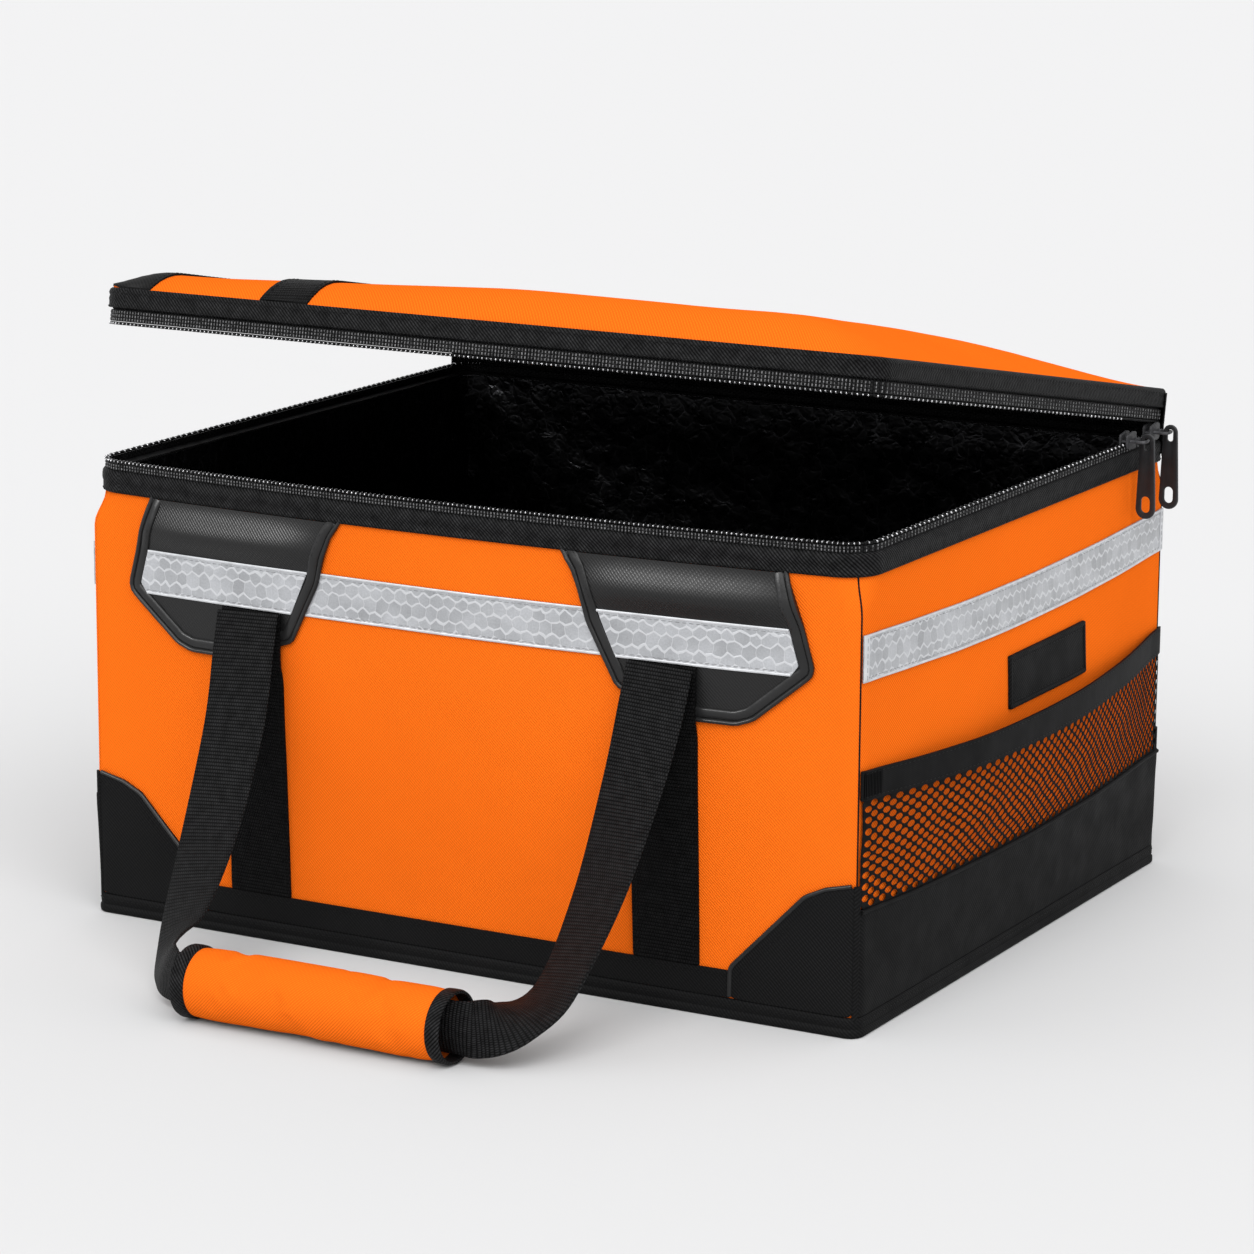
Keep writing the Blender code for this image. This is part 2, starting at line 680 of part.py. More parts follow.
def pocket_net(side):
    """A diamond net: every mesh is a rhombus with a smaller rhombus left open."""
    half = side.half_length - CLEARANCE
    columns = 2 * round(half * 2 / NET_CELL_WIDTH)
    rows = 2 * round((POCKET_MIDDLE - LOWER_PANEL_MIDDLE) / NET_CELL_HEIGHT)
    hole_share = 1 - NET_STRAND / (NET_CELL_WIDTH * NET_CELL_HEIGHT / math.hypot(NET_CELL_WIDTH, NET_CELL_HEIGHT))
    builder = bmesh.new()
    knots = {}

    def knot(a, b):
        key = (round(a, 6), round(b, 6))
        if key not in knots:
            knots[key] = builder.verts.new((a, b, 0))
        return knots[key]

    for a in range(columns + 1):
        for b in range(rows + 1):
            if (a + b) % 2 == 0:
                continue
            ways = [(1, 0), (0, 1), (-1, 0), (0, -1)]
            inside = [(x, y) for x, y in ways if 0 <= a + x <= columns and 0 <= b + y <= rows]
            if len(inside) < 4:
                corner = [knot(a + x, b + y) for x, y in inside]
                builder.faces.new(corner)
                continue
            for (x, y), (nx, ny) in zip(ways, ways[1:] + ways[:1]):
                builder.faces.new((
                    knot(a + x, b + y), knot(a + nx, b + ny),
                    knot(a + nx * hole_share, b + ny * hole_share), knot(a + x * hole_share, b + y * hole_share),
                ))
    grown = bmesh.ops.extrude_face_region(builder, geom=builder.faces[:])
    upper = {v for v in grown["geom"] if isinstance(v, bmesh.types.BMVert)}
    for vertex in builder.verts:
        u = -half + 2 * half * vertex.co.x / columns
        share = vertex.co.y / rows
        bottom, mouth = pocket_bottom(u, side.half_length), pocket_mouth(u, side.half_length) - CLEARANCE
        height = bottom + (mouth - bottom) * share
        out = pocket_out(u, height, side.half_length) + (NET_THICKNESS if vertex in upper else 0.0)
        vertex.co = side.lattice.place(u, height, out)
    return builder


def pocket_binding(side):
    edge = side.half_length - CLEARANCE
    stops = spaced(-edge, edge, 16)
    lower = [(u, pocket_mouth(u, side.half_length)) for u in stops]
    upper = [(u, z + POCKET_BINDING_HEIGHT) for u, z in reversed(lower)]

    def low(p, q):
        return pocket_out(p, pocket_mouth(p, side.half_length), side.half_length)

    def high(p, q):
        return low(p, q) + POCKET_BINDING_THICKNESS

    return side.lattice.plate(lower + upper, low, high, p_cuts=stops[1:-1])


def right_side(side):
    add_object("pocket_net", pocket_net(side), "zipper_black")
    add_object("pocket_binding", pocket_binding(side), "black_webbing")
    left, right = LABEL_CENTRE_Y - LABEL_WIDTH / 2, LABEL_CENTRE_Y + LABEL_WIDTH / 2
    top = LABEL_BOTTOM + LABEL_HEIGHT
    outline = ((left, LABEL_BOTTOM), (right, LABEL_BOTTOM), (right, top), (left, top))
    label = side.lattice.plate(outline, CLEARANCE, CLEARANCE + LABEL_THICKNESS)
    add_object("label_patch", label, "black_coated")


def make_lid_frame():
    """The empty on the hinge line that carries the lid, turned to the ajar pose."""
    hinge = bpy.data.objects.new("lid_hinge_line", None)
    bpy.context.scene.collection.objects.link(hinge)
    hinge.location = (0, BAG_DEPTH / 2 + HINGE_OUT, HEIGHTS["hinge"])
    hinge.rotation_euler = (-LID_AJAR, 0, 0)
    return hinge


def lid_object(name, builder, surface, hinge):
    """A lid piece, written as on the closed lid, hung from the hinge line."""
    thing = add_object(name, builder, surface, origin=Vector(hinge.location))
    thing.location = (0, 0, 0)
    thing.parent = hinge
    return thing


def shoulder(inward, reach):
    """How much of the crown's height is reached at a distance inward of an edge."""
    short = 1 - min(max(inward / reach, 0.0), 1.0)
    return 1 - short ** SHOULDER_POWER_SHARE


def crown(x, from_front, from_rear):
    """The lid's dome, as a share of the crown's height."""
    across = shoulder(BAG_WIDTH / 2 - abs(x), LID_END_SHOULDER)
    return across * shoulder(from_front, LID_FRONT_SHOULDER) * shoulder(from_rear, LID_REAR_SHOULDER)


def lid_lattice(sides, base_height):
    """The lid's top surface over shares of its width and depth."""
    front = sides[0]

    def base(p, q):
        x = p * BAG_WIDTH / 2
        near = -BAG_DEPTH / 2 - front.bulge(x, HEIGHTS["wall_top"])
        y = near + (q + 1) / 2 * (BAG_DEPTH / 2 - near)
        return Vector((x, y, base_height + LID_CROWN * crown(x, y - near, BAG_DEPTH / 2 - y)))

    p_lines = [line / front.half_length for line in front.lines]
    q_lines = [line / sides[1].half_length for line in sides[1].lines]
    return Lattice(p_lines, q_lines, base, lambda p, q: Vector((0, 0, 1)))


def lid_outline(sides, inset):
    """The rim's outline in shares of the lid's width and depth, drawn in by inset."""
    front = sides[0]
    outline = []
    for place, way in rim_outline(sides):
        point = place - inset * way
        near = -BAG_DEPTH / 2 - front.bulge(point.x, HEIGHTS["wall_top"])
        outline.append((point.x / (BAG_WIDTH / 2), 2 * (point.y - near) / (BAG_DEPTH / 2 - near) - 1))
    return outline


def end_trim_outline(sides):
    """The part of the lid's outline that lies left of the end trim's inner edge."""
    inner = 2 * LID_TRIM_WIDTH / BAG_WIDTH - 1
    around = lid_outline(sides, CLEARANCE)
    half = len(around) // 2
    kept = [point for point in around[half:] + around[:half] if point[0] < inner]
    return [(inner, kept[0][1])] + kept + [(inner, kept[-1][1])]


def lid(sides, hinge):
    mid = HEIGHTS["hinge"]
    outline = rim_outline(sides)
    coil_low = mid + CHAIN_GAP / 2
    coil_high = coil_low + COIL_HEIGHT
    coil = box_profile(COIL_PROUD - COIL_WIDTH, COIL_PROUD, coil_low, coil_high)
    lid_object("lid_zipper_coil", ring(swept(outline, coil)), "zipper_black", hinge)
    tape_low = coil_high + CLEARANCE
    tape_high = tape_low + LID_TAPE_HEIGHT
    tape = box_profile(-TAPE_INSET, TAPE_THICKNESS - TAPE_INSET, tape_low, tape_high)
    lid_object("lid_zipper_tape", ring(swept(outline, tape)), "zipper_black", hinge)
    band_low = tape_high + CLEARANCE
    band_high = band_low + LID_BAND_HEIGHT
    band_inner = CLEARANCE
    band = box_profile(-TAPE_INSET, band_inner + BINDING_THICKNESS, band_low, band_high)
    lid_object("lid_band", ring(swept(outline, band)), "black_webbing", hinge)

    top = lid_lattice(sides, band_high + CLEARANCE + PANEL_THICKNESS)
    panel = top.plate(lid_outline(sides, 0.0), -PANEL_THICKNESS, 0.0)
    lid_object("lid_panel", panel, "orange_oxford", hinge)
    inset = TAPE_INSET + CLEARANCE
    foam_high = -(PANEL_THICKNESS + 2 * CLEARANCE)
    foam_low = foam_high - FOAM_THICKNESS
    foam = top.plate(lid_outline(sides, inset), foam_low, foam_high)
    lid_object("lid_foam", foam, "foam", hinge)
    liner_high = foam_low - CLEARANCE
    liner = top.plate(lid_outline(sides, inset), liner_high - LINER_THICKNESS, liner_high)
    lid_object("lid_liner", liner, "foil", hinge)

    half_width = BAG_WIDTH / 2
    low, high = CLEARANCE, CLEARANCE + TRIM_THICKNESS
    left, right = LID_STRAP_INSET - half_width, LID_STRAP_INSET + LID_STRAP_WIDTH - half_width
    outline = [(left / half_width, -1), (right / half_width, -1), (right / half_width, 1), (left / half_width, 1)]
    lid_object("lid_strap", top.plate(outline, low, high), "black_webbing", hinge)
    lid_object("lid_end_trim", top.plate(end_trim_outline(sides), low, high), "black_coated", hinge)
    lid_hinge(sides, hinge, band_high)


def lid_hinge(sides, hinge, flap_top):
    """Webbing with a roll on the body, and the lid's flap that turns round the roll."""
    axis_y, axis_z = hinge.location.y, hinge.location.z
    half = HINGE_TAPE_THICKNESS / 2
    neck = math.asin(half / HINGE_ROLL_RADIUS)
    profile = [(-half, -HINGE_TAPE_DROP), (half, -HINGE_TAPE_DROP)]
    for angle in spaced(neck, 2 * math.pi - neck, 8):
        profile.append((HINGE_ROLL_RADIUS * math.sin(angle), -HINGE_ROLL_RADIUS * math.cos(angle)))
    reach = BAG_WIDTH / 2 - HINGE_END_INSET
    ends = (-reach, reach)
    tape = bar([[Vector((x, axis_y + y, axis_z + z)) for y, z in profile] for x in ends])
    add_object("rear_hinge_tape", tape, "black_webbing")
    foot_gap = HINGE_ROLL_RADIUS + HINGE_RUNNING_GAP
    flap = box_profile(-half, half, foot_gap, flap_top - axis_z)
    flap_bar = bar([[Vector((x, axis_y + y, axis_z + z)) for y, z in flap] for x in ends])
    lid_object("lid_hinge_flap", flap_bar, "black_webbing", hinge)


def handle_axis(side):
    """The fold line of a handle, in the wall's own directions."""
    inner_edge = (HANDLE_SPACING - WEBBING_WIDTH) / 2
    wall = side.turn.inverted() @ side.lattice.place(inner_edge, HANDLE_AXIS_HEIGHT, HANDLE_AXIS_OUT)
    return Vector((0, wall.y, HANDLE_AXIS_HEIGHT))


def strap_sections(axis):
    """Sections of one handle's webbing, from its left fold through the grip to its right fold."""
    side_reach = HANDLE_SPACING / 2 - GRIP_LENGTH / 2
    drop = HANDLE_AXIS_HEIGHT - GRIP_HEIGHT
    route = []
    for out, down, aside, turn in STRAP_ROUTE_SHARES:
        place = Vector((aside * side_reach - HANDLE_SPACING / 2, axis.y - out * GRIP_REACH, axis.z - down * drop))
        route.append((place, turn * math.pi / 2))
    grip_y = axis.y - GRIP_REACH
    for share in (1.0, 0.55, 0.0):
        route.append((Vector((-share * GRIP_LENGTH / 2, grip_y, GRIP_HEIGHT)), math.pi / 2))
    mirrored = [(Vector((-place.x, place.y, place.z)), math.pi - turn) for place, turn in reversed(route[:-1])]
    return smooth_route(route + mirrored)


def smooth_route(route):
    """Rectangular sections at the route's points, square to the way it runs."""
    places = [place for place, turn in route]
    sections = []
    for k, (place, turn) in enumerate(route):
        ahead = places[min(k + 1, len(places) - 1)]
        behind = places[max(k - 1, 0)]
        way = (ahead - behind).normalized()
        across = Vector((math.cos(turn), 0, math.sin(turn)))
        across = (across - across.dot(way) * way).normalized()
        flat = way.cross(across)
        level = abs(math.cos(turn))
        half = (WEBBING_IN_GRIP + (WEBBING_WIDTH - WEBBING_IN_GRIP) * level) / 2
        thick = WEBBING_THICKNESS / 2
        sections.append([
            place - half * across - thick * flat, place + half * across - thick * flat,
            place + half * across + thick * flat, place - half * across + thick * flat,
        ])
    return sections


def grip_sections(axis):
    """The sleeve's wall with its bound ends, turned about the grip's line."""
    half = GRIP_LENGTH / 2
    inner = GRIP_RADIUS - GRIP_WALL
    step = half - GRIP_END_LENGTH
    profile = (
        (inner, -half), (inner, half), (GRIP_OUTER, half), (GRIP_OUTER, step),
        (GRIP_RADIUS, step), (GRIP_RADIUS, -step), (GRIP_OUTER, -step), (GRIP_OUTER, -half),
    )
    centre = Vector((0, axis.y - GRIP_REACH, GRIP_HEIGHT))
    sections = []
    for angle in spaced(0, 2 * math.pi, 20)[:-1]:
        way = Vector((0, math.cos(angle), math.sin(angle)))
        sections.append([centre + Vector((x, 0, 0)) + r * way for r, x in profile])
    return sections


def handle(side, face):
    """Webbing and grip of one handle, lying with the grip on the floor."""
    axis = handle_axis(side)
    turn = side.turn
    origin = turn @ axis
    webbing = bar([[turn @ point for point in section] for section in strap_sections(axis)])
    bmesh.ops.triangulate(webbing, faces=webbing.faces)
    add_object(f"{face}_handle_webbing", webbing, "black_webbing", origin=origin)
    sleeve = ring([[turn @ point for point in section] for section in grip_sections(axis)])
    add_object(f"{face}_grip_sleeve", sleeve, "orange_oxford", origin=origin, smooth=True)


def slider_outs():
    """Distances outward of the slider's two plates, inner faces first."""
    inner = COIL_PROUD - COIL_WIDTH - SLIDER_CLEARANCE
    outer = COIL_PROUD + SLIDER_CLEARANCE
    return inner, outer


def box_builder(low, high):
    """A plain block between two corners."""
    builder = bmesh.new()
    bmesh.ops.create_cube(builder, size=1.0)
    for vertex in builder.verts:
        vertex.co = Vector(tuple(
            a if c < 0 else b for c, a, b in zip(vertex.co, low, high)
        ))
    return builder


def slider(name, y):
    """Two plates, the post between the coils, and the bridge that the pull hangs on."""
    inner, outer = slider_outs()
    wall = BAG_WIDTH / 2
    mid = HEIGHTS["hinge"]
    half_length, half_post = SLIDER_LENGTH / 2, SLIDER_POST / 2
    profile = (
        (inner - SLIDER_PLATE, -SLIDER_HALF_HEIGHT), (inner, -SLIDER_HALF_HEIGHT), (inner, -half_post),
        (outer, -half_post), (outer, -SLIDER_HALF_HEIGHT), (outer + SLIDER_PLATE, -SLIDER_HALF_HEIGHT),
        (outer + SLIDER_PLATE, SLIDER_HALF_HEIGHT), (outer, SLIDER_HALF_HEIGHT), (outer, half_post),
        (inner, half_post), (inner, SLIDER_HALF_HEIGHT), (inner - SLIDER_PLATE, SLIDER_HALF_HEIGHT),
    )
    plates = bar([
        [Vector((wall + out, y + end, mid + height)) for out, height in profile]
        for end in (-half_length, half_length)
    ])
    thing = add_object(name, plates, "gunmetal", origin=Vector((wall, y, mid)))
    add_bridge(thing, wall + outer + SLIDER_PLATE, y + BRIDGE_AHEAD, mid)
    return thing


def add_bridge(thing, plate_face, bar_middle, mid):
    """The staple on the outer plate, joined to it."""
    half = BRIDGE_LENGTH / 2
    reach = BRIDGE_REACH + BRIDGE_BAR / 2
    sunk = SLIDER_PLATE / 2
    outline = (
        (-sunk, -half), (reach, -half), (reach, half), (-sunk, half), (-sunk, half - BRIDGE_BAR),
        (reach - BRIDGE_BAR, half - BRIDGE_BAR), (reach - BRIDGE_BAR, BRIDGE_BAR - half), (-sunk, BRIDGE_BAR - half),
    )
    staple = bar([
        [Vector((plate_face + x, bar_middle + y, mid + z)) for x, y in outline]
        for z in (-BRIDGE_BAR / 2, BRIDGE_BAR / 2)
    ])
    cutter = add_object(f"{thing.name}_bridge_guide", staple, "gunmetal")
    cutter.hide_render = True
    cutter.display_type = "WIRE"
    join = thing.modifiers.new("bridge", "BOOLEAN")
    join.operation = "UNION"
    join.solver = "EXACT"
    join.object = cutter


def oval(width, length, centre, steps=6):
    """A slot's outline with round ends, standing along the pull's length."""
    radius = width / 2
    straight = (length - width) / 2
    points = []
    for sign in (1, -1):
        for angle in spaced(0, math.pi, steps):
            points.append((sign * radius * math.cos(angle), centre + sign * (straight + radius * math.sin(angle))))
    return points


def pull_outline():
    """The pull's edge, round at the top, wider and rounded at the bottom."""
    top = PULL_TOP_WIDTH / 2
    low = PULL_WIDTH / 2
    points = []
    for angle in spaced(0, math.pi, 6):
        points.append((top * math.cos(angle), top * math.sin(angle)))
    bottom = -(PULL_LENGTH - top - low)
    for angle in spaced(math.pi, 2 * math.pi, 6):
        points.append((low * math.cos(angle), bottom + low * math.sin(angle)))
    return points


def pull(name, y):
    """A flat tab with a slot for the bridge and a hole at its lower end."""
    inner, outer = slider_outs()
    bar_x = BAG_WIDTH / 2 + outer + SLIDER_PLATE + BRIDGE_REACH
    axis = Vector((bar_x, y + BRIDGE_AHEAD + PULL_AHEAD, HEIGHTS["hinge"]))
    slot_centre = -(PULL_SLOT_LENGTH - PULL_SLOT_WIDTH) / 2
    hole_centre = -(PULL_LENGTH - PULL_TOP_WIDTH / 2 - PULL_WIDTH / 2 - PULL_HOLE_LENGTH / 4)
    builder = bmesh.new()
    edges = []
    for loop in (pull_outline(), oval(PULL_SLOT_WIDTH, PULL_SLOT_LENGTH, slot_centre),
                 oval(PULL_HOLE_WIDTH, PULL_HOLE_LENGTH, hole_centre)):
        verts = [builder.verts.new((axis.x + x, axis.y - PULL_THICKNESS / 2, axis.z + z)) for x, z in loop]
        edges += [builder.edges.new((a, b)) for a, b in zip(verts, verts[1:] + verts[:1])]
    bmesh.ops.triangle_fill(builder, edges=edges, use_beauty=True)
    grown = bmesh.ops.extrude_face_region(builder, geom=builder.faces[:])
    for item in grown["geom"]:
        if isinstance(item, bmesh.types.BMVert):
            item.co.y += PULL_THICKNESS
    return add_object(name, builder, "gunmetal", origin=axis)


def main():
    clear_scene()
    sides = make_sides()
    foot(sides)
    wall_panels(sides)
    insulation(sides)
    rim(sides)
    corner_patches(sides)
    handle_mounts(sides)
    side_trim(sides)
    right_side(sides[1])
    hinge = make_lid_frame()
    lid(sides, hinge)
    handle(sides[0], "front")
    handle(sides[2], "rear")
    rear_place = BAG_DEPTH / 2 - REAR_SLIDER_INSET
    for name, y in (("front", rear_place - SLIDER_SPACING), ("rear", rear_place)):
        slider(f"{name}_zipper_slider", y)
        pull(f"{name}_zipper_pull", y)


main()
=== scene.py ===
"""Finishes the insulated delivery bag over its packed frame.

Every piece is laid on the smooth walls, rim or lid that the frame's flat-faced
solids follow. All lengths are in metres. +X is the bag's right, -Y its front.
"""

from math import copysign, cos, hypot, pi, radians, sin, sqrt, tan, tanh

import bmesh
import bpy
from mathutils import Matrix, Vector, noise


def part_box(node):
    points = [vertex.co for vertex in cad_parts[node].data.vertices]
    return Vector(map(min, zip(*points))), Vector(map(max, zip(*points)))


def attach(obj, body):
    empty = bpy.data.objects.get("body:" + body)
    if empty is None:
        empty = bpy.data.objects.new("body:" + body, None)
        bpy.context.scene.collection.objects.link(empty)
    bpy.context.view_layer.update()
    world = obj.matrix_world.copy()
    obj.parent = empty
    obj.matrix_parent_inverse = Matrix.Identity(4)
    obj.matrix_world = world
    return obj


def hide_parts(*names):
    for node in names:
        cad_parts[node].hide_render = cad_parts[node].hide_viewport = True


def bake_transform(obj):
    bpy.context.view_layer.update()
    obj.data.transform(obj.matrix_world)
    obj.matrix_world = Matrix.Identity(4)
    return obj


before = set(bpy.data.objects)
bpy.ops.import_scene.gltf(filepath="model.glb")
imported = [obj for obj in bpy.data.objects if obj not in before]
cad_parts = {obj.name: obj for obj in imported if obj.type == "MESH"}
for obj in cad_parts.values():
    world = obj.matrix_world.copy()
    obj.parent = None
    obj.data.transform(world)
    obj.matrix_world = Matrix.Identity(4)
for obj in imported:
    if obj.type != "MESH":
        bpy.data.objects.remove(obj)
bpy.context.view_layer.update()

bl_info = {
    "name": "Delivery Bag Finisher",
    "version": (1, 0, 0),
    "blender": (4, 5, 0),
    "location": "View3D > Sidebar > Delivery Bag",
    "description": "Builds the cloth, webbing, foil, net and zipper of an insulated delivery bag",
    "category": "Object",
}

# Body
HALF_WIDTH = 0.250
HALF_DEPTH = 0.210
FRONT_BOW = 0.012
REAR_BOW = 0.007
SIDE_BOW = 0.008
FRONT_RIM_RADIUS = 0.020
REAR_RIM_RADIUS = 0.014
CORNER_RADIUS = 0.003
FOOT_RADIUS = 0.006
GAP = 0.0003
RIPPLE = 0.0012

# Heights from the floor
WALL_BOTTOM = 0.0018
FOOT_TOP = 0.0118
MID_HEIGHT = 0.0825
FLARE_START = 0.235
TRIM_TOP = 0.2548
WALL_TOP = 0.2662
BINDING_TOP = 0.2681
TAPE_LOW, TAPE_HIGH = 0.2684, 0.2719
COIL_LOW, COIL_HIGH = 0.2722, 0.2741
HINGE_Y, HINGE_Z = 0.2126, 0.2749

# Zipper, as distances outward of the rim, and the reach of the rear hinge webbing.
# Where an outward way has more x than SIDE_FACING, it is a side's.
TAPE_IN, TAPE_OUT = -0.0012, 0.0002
COIL_OUT, COIL_RADII = -0.00055, (0.00115, 0.00085)
TOOTH_IN = 0.00065
SIDE_FACING = 0.7
HINGE_REACH, HINGE_BELOW, HINGE_ABOVE = 0.236, 0.0165, 0.0198

# Layers, as distances outward of the wall's cloth
CLOTH = 0.0012
FOAM_OUT, FOAM_IN = -0.0016, -0.0064
LINER_OUT, LINER_IN = -0.0068, -0.0076
TRIM = 0.0012
STRIP = 0.0008
LINER_FLOOR = 0.0104

# Trim on the walls
STRIP_LOW, STRIP_HIGH = 0.1985, 0.2245
SIDE_STRIP_SAG = 0.004
BAND_TOP = 0.0275
CORNER_PATCH = (0.078, 0.0752)
CORNER_SHARES = ((0.0, 0.0), (1.0, 0.0), (0.99, 0.24), (0.404, 0.867), (0.24, 0.947), (0.0, 1.0))
PATCH_INNER, PATCH_WIDTH, PATCH_LOW = 0.082, 0.1405, 0.168
PATCH_SHARES = (
    (-0.078, 1.0), (-0.024, 0.89), (0.010, 0.755), (0.043, 0.565), (0.171, 0.161), (0.484, 0.0), (0.683, 0.0),
    (0.754, 0.04), (0.993, 0.357), (1.0, 0.415), (0.954, 0.68), (0.883, 1.0),
)
WELT_WIDTH = 0.0082
STRAP_PLACE, STRAP_WIDTH, STRAP_THICK = 0.134, 0.041, 0.0015

# Right side, the label as left, right, low and high
LABEL = (-0.0335, 0.0775, 0.1485, 0.1795)
LABEL_THICK = 0.0014
NET_COLUMNS, NET_ROWS = 44, 10
NET_HOLE, NET_THICK = 0.93, 0.0005
POCKET_SLACK, POCKET_RISE = 0.009, 0.0006
POCKET_BINDING, POCKET_BINDING_THICK = 0.0165, 0.0015

# Lid, as heights above the hinge line when shut
LID_AJAR = radians(10.5)
LID_COIL = (0.0008, 0.0027)
LID_TAPE = (0.0030, 0.0092)
LID_BAND = (0.0095, 0.0203)
LID_TOP = 0.0218
LID_CROWN = 0.0195
FRONT_SHOULDER, LEFT_SHOULDER, RIGHT_SHOULDER, REAR_SHOULDER = 0.034, 0.032, 0.078, 0.300
SHOULDER_POWER = 2.2
LID_TRIM_EDGE = -0.214
LID_TRIM_OVER = 0.0004
LID_STRAP = (-0.134, -0.101)
LID_INSET = 0.0013

# Handles
FRONT_FOLD = (0.0, -0.222788, 0.19745)
REAR_FOLD = (0.0, 0.217958, 0.19745)
GRIP_REACH, GRIP_HEIGHT, GRIP_LENGTH = 0.1335, 0.0207, 0.172
GRIP_RADIUS, GRIP_BORE, GRIP_HELD = 0.0193, 0.0184, 0.007
CREASE_OUT, CREASE_IN = 0.0009, 0.0006
CLOTH_FRAMES = 20
STRAP_IN_GRIP, STRAP_CUP = 0.0300, 0.0040
# The webbing from its fold into the grip, as shares outward, down and aside, then its turn and twist
STRAP_ROUTE = (
    (0.0, 0.0, 0.0, 0.0, 0.0), (0.05, 0.12, 0.02, 0.0, 0.0), (0.16, 0.35, 0.083, 0.03, -0.14),
    (0.40, 0.674, 0.156, 0.15, -0.46), (0.675, 0.919, 0.27, 0.40, -0.84), (0.88, 0.985, 0.48, 0.70, -0.76),
    (0.97, 1.0, 0.75, 0.92, -0.35), (1.0, 1.0, 1.0, 1.0, 0.0),
)

# Zipper hardware, with the stretch of the rim that the parked sliders cover
SLIDER_PLACES = (("front", 0.1522), ("rear", 0.1887))
SLIDER_REACH = (0.1400, 0.2020)
SLIDER_HALF_LENGTH, SLIDER_HALF_HEIGHT = 0.007, 0.0055
PULL_X, PULL_AHEAD, PULL_HALF_THICK = 0.2608, 0.0033, 0.0009

# Camera, fitted to the photograph's lines
IMAGE_SIZE = 1254
FOCAL_PIXELS = 4445
CAMERA_AZIMUTH, CAMERA_ELEVATION, CAMERA_ROLL = 28.86, 12.53, 0.38
CAMERA_DISTANCE = 2.683
CAMERA_TARGET = (-0.0089, 0.0, 0.1601)

# Lights, as name, azimuth, elevation, strength and spread
LIGHTS = (
    ("key_light", 8.0, 42.0, 1.20, 40.0), ("side_light", 52.0, 42.0, 1.00, 44.0),
    ("satin_light", -30.0, 25.0, 1.60, 15.0),
)
SKY_STRENGTH, BACKDROP = 0.80, (0.875, 0.875, 0.880, 1.0)
FLOOR_HALF, FLOOR_LEVEL, FLOOR_CELLS = 20.0, -0.0002, 8

# Colours that no setting changes
CLOTH_GLOW = (0.34, 0.27, 0.24, 1.0)
CELL_LINES = (0.55, 0.56, 0.58, 1.0)
# Lighter grey for the hardware's edges: partly wear, partly a painted highlight.
WORN_AND_LIT_METAL = (0.14, 0.14, 0.15, 1.0)

UP = Vector((0, 0, 1))
STILL = Matrix.Identity(4)


def length_setting(name, description, default):
    """A length in metres that a user may change."""
    return bpy.props.FloatProperty(
        name=name, description=description, default=default, min=0.0, precision=5, subtype="DISTANCE", unit="LENGTH"
    )


def colour_setting(name, description, default):
    """A linear colour that a user may change."""
    return bpy.props.FloatVectorProperty(
        name=name, description=description, default=default, min=0.0, max=1.0, size=3, subtype="COLOR"
    )


class DeliveryBagSizes(bpy.types.PropertyGroup):
    """How fine the weave, stitching and zipper are."""

    twill_pitch: length_setting("Twill pitch", "Distance between the cloth's diagonal ribs", 0.00135)
    webbing_pitch: length_setting("Webbing pitch", "Distance between the rows of the handle webbing", 0.0021)
    rib_pitch: length_setting("Binding pitch", "Distance between the ribs of the bindings", 0.0019)
    hex_pitch: length_setting("Cell pitch", "Width of one cell of the reflective tape", 0.0082)
    stitch_pitch: length_setting("Stitch pitch", "Distance from one stitch to the next", 0.0042)
    stitch_length: length_setting("Stitch length", "Length of thread that shows in one stitch", 0.0028)
    stitch_radius: length_setting("Thread radius", "Radius of the sewing thread", 0.00024)
    tooth_pitch: length_setting("Tooth pitch", "Distance from one zipper tooth to the next", 0.0029)
    piping_radius: length_setting("Piping radius", "Radius of the piping down the body's corners", 0.0005)


class DeliveryBagColours(bpy.types.PropertyGroup):
    """Base colours of the bag's finishes."""

    cloth: colour_setting("Cloth", "Orange of the outer cloth", (0.975, 0.166, 0.0105))
    coated: colour_setting("Coated cloth", "Black of the patches and lower panels", (0.0112, 0.0112, 0.0115))
    webbing: colour_setting("Webbing", "Black of the webbing and bindings", (0.0062, 0.0062, 0.0064))
    silver: colour_setting("Reflective tape", "Grey of the reflective tape", (0.42, 0.43, 0.45))
    # The liner's near-black is partly the foil's own colour and partly painted shade: it is as dark as the bag's shaded
    # inside.
    foil: colour_setting("Liner", "Grey of the foil liner", (0.012, 0.012, 0.013))
    foam: colour_setting("Foam", "Grey of the insulation", (0.35, 0.35, 0.36))
    metal: colour_setting("Hardware", "Gunmetal of the sliders and pulls", (0.016, 0.016, 0.017))
    floor: colour_setting("Floor", "Pale floor and backdrop", (0.706, 0.706, 0.711))


def sizes():
    return bpy.context.scene.delivery_bag_sizes


def colours():
    return bpy.context.scene.delivery_bag_colours


# Small sums


def eased(value, start=0.0, end=1.0):
    """0 before start, 1 after end, and a smooth rise between."""
    share = min(max((value - start) / (end - start), 0.0), 1.0)
    return share * share * (3 - 2 * share)


def mixed(low, high, share):
    return low + (high - low) * share


def spaced(start, end, cells):
    """Evenly spaced values, both ends included."""
    return [start + (end - start) * k / cells for k in range(cells + 1)]


def round_angles(count):
    """Evenly spaced angles once round."""
    return spaced(0.0, 2 * pi, count)[:-1]


def wobble(x, y, z, size, seed=0.0):
    """Smooth noise from -1 to 1 with bumps of about the given size."""
    return noise.noise(Vector((x / size + seed, y / size - seed, z / size + 0.37 * seed)))


# Outlines


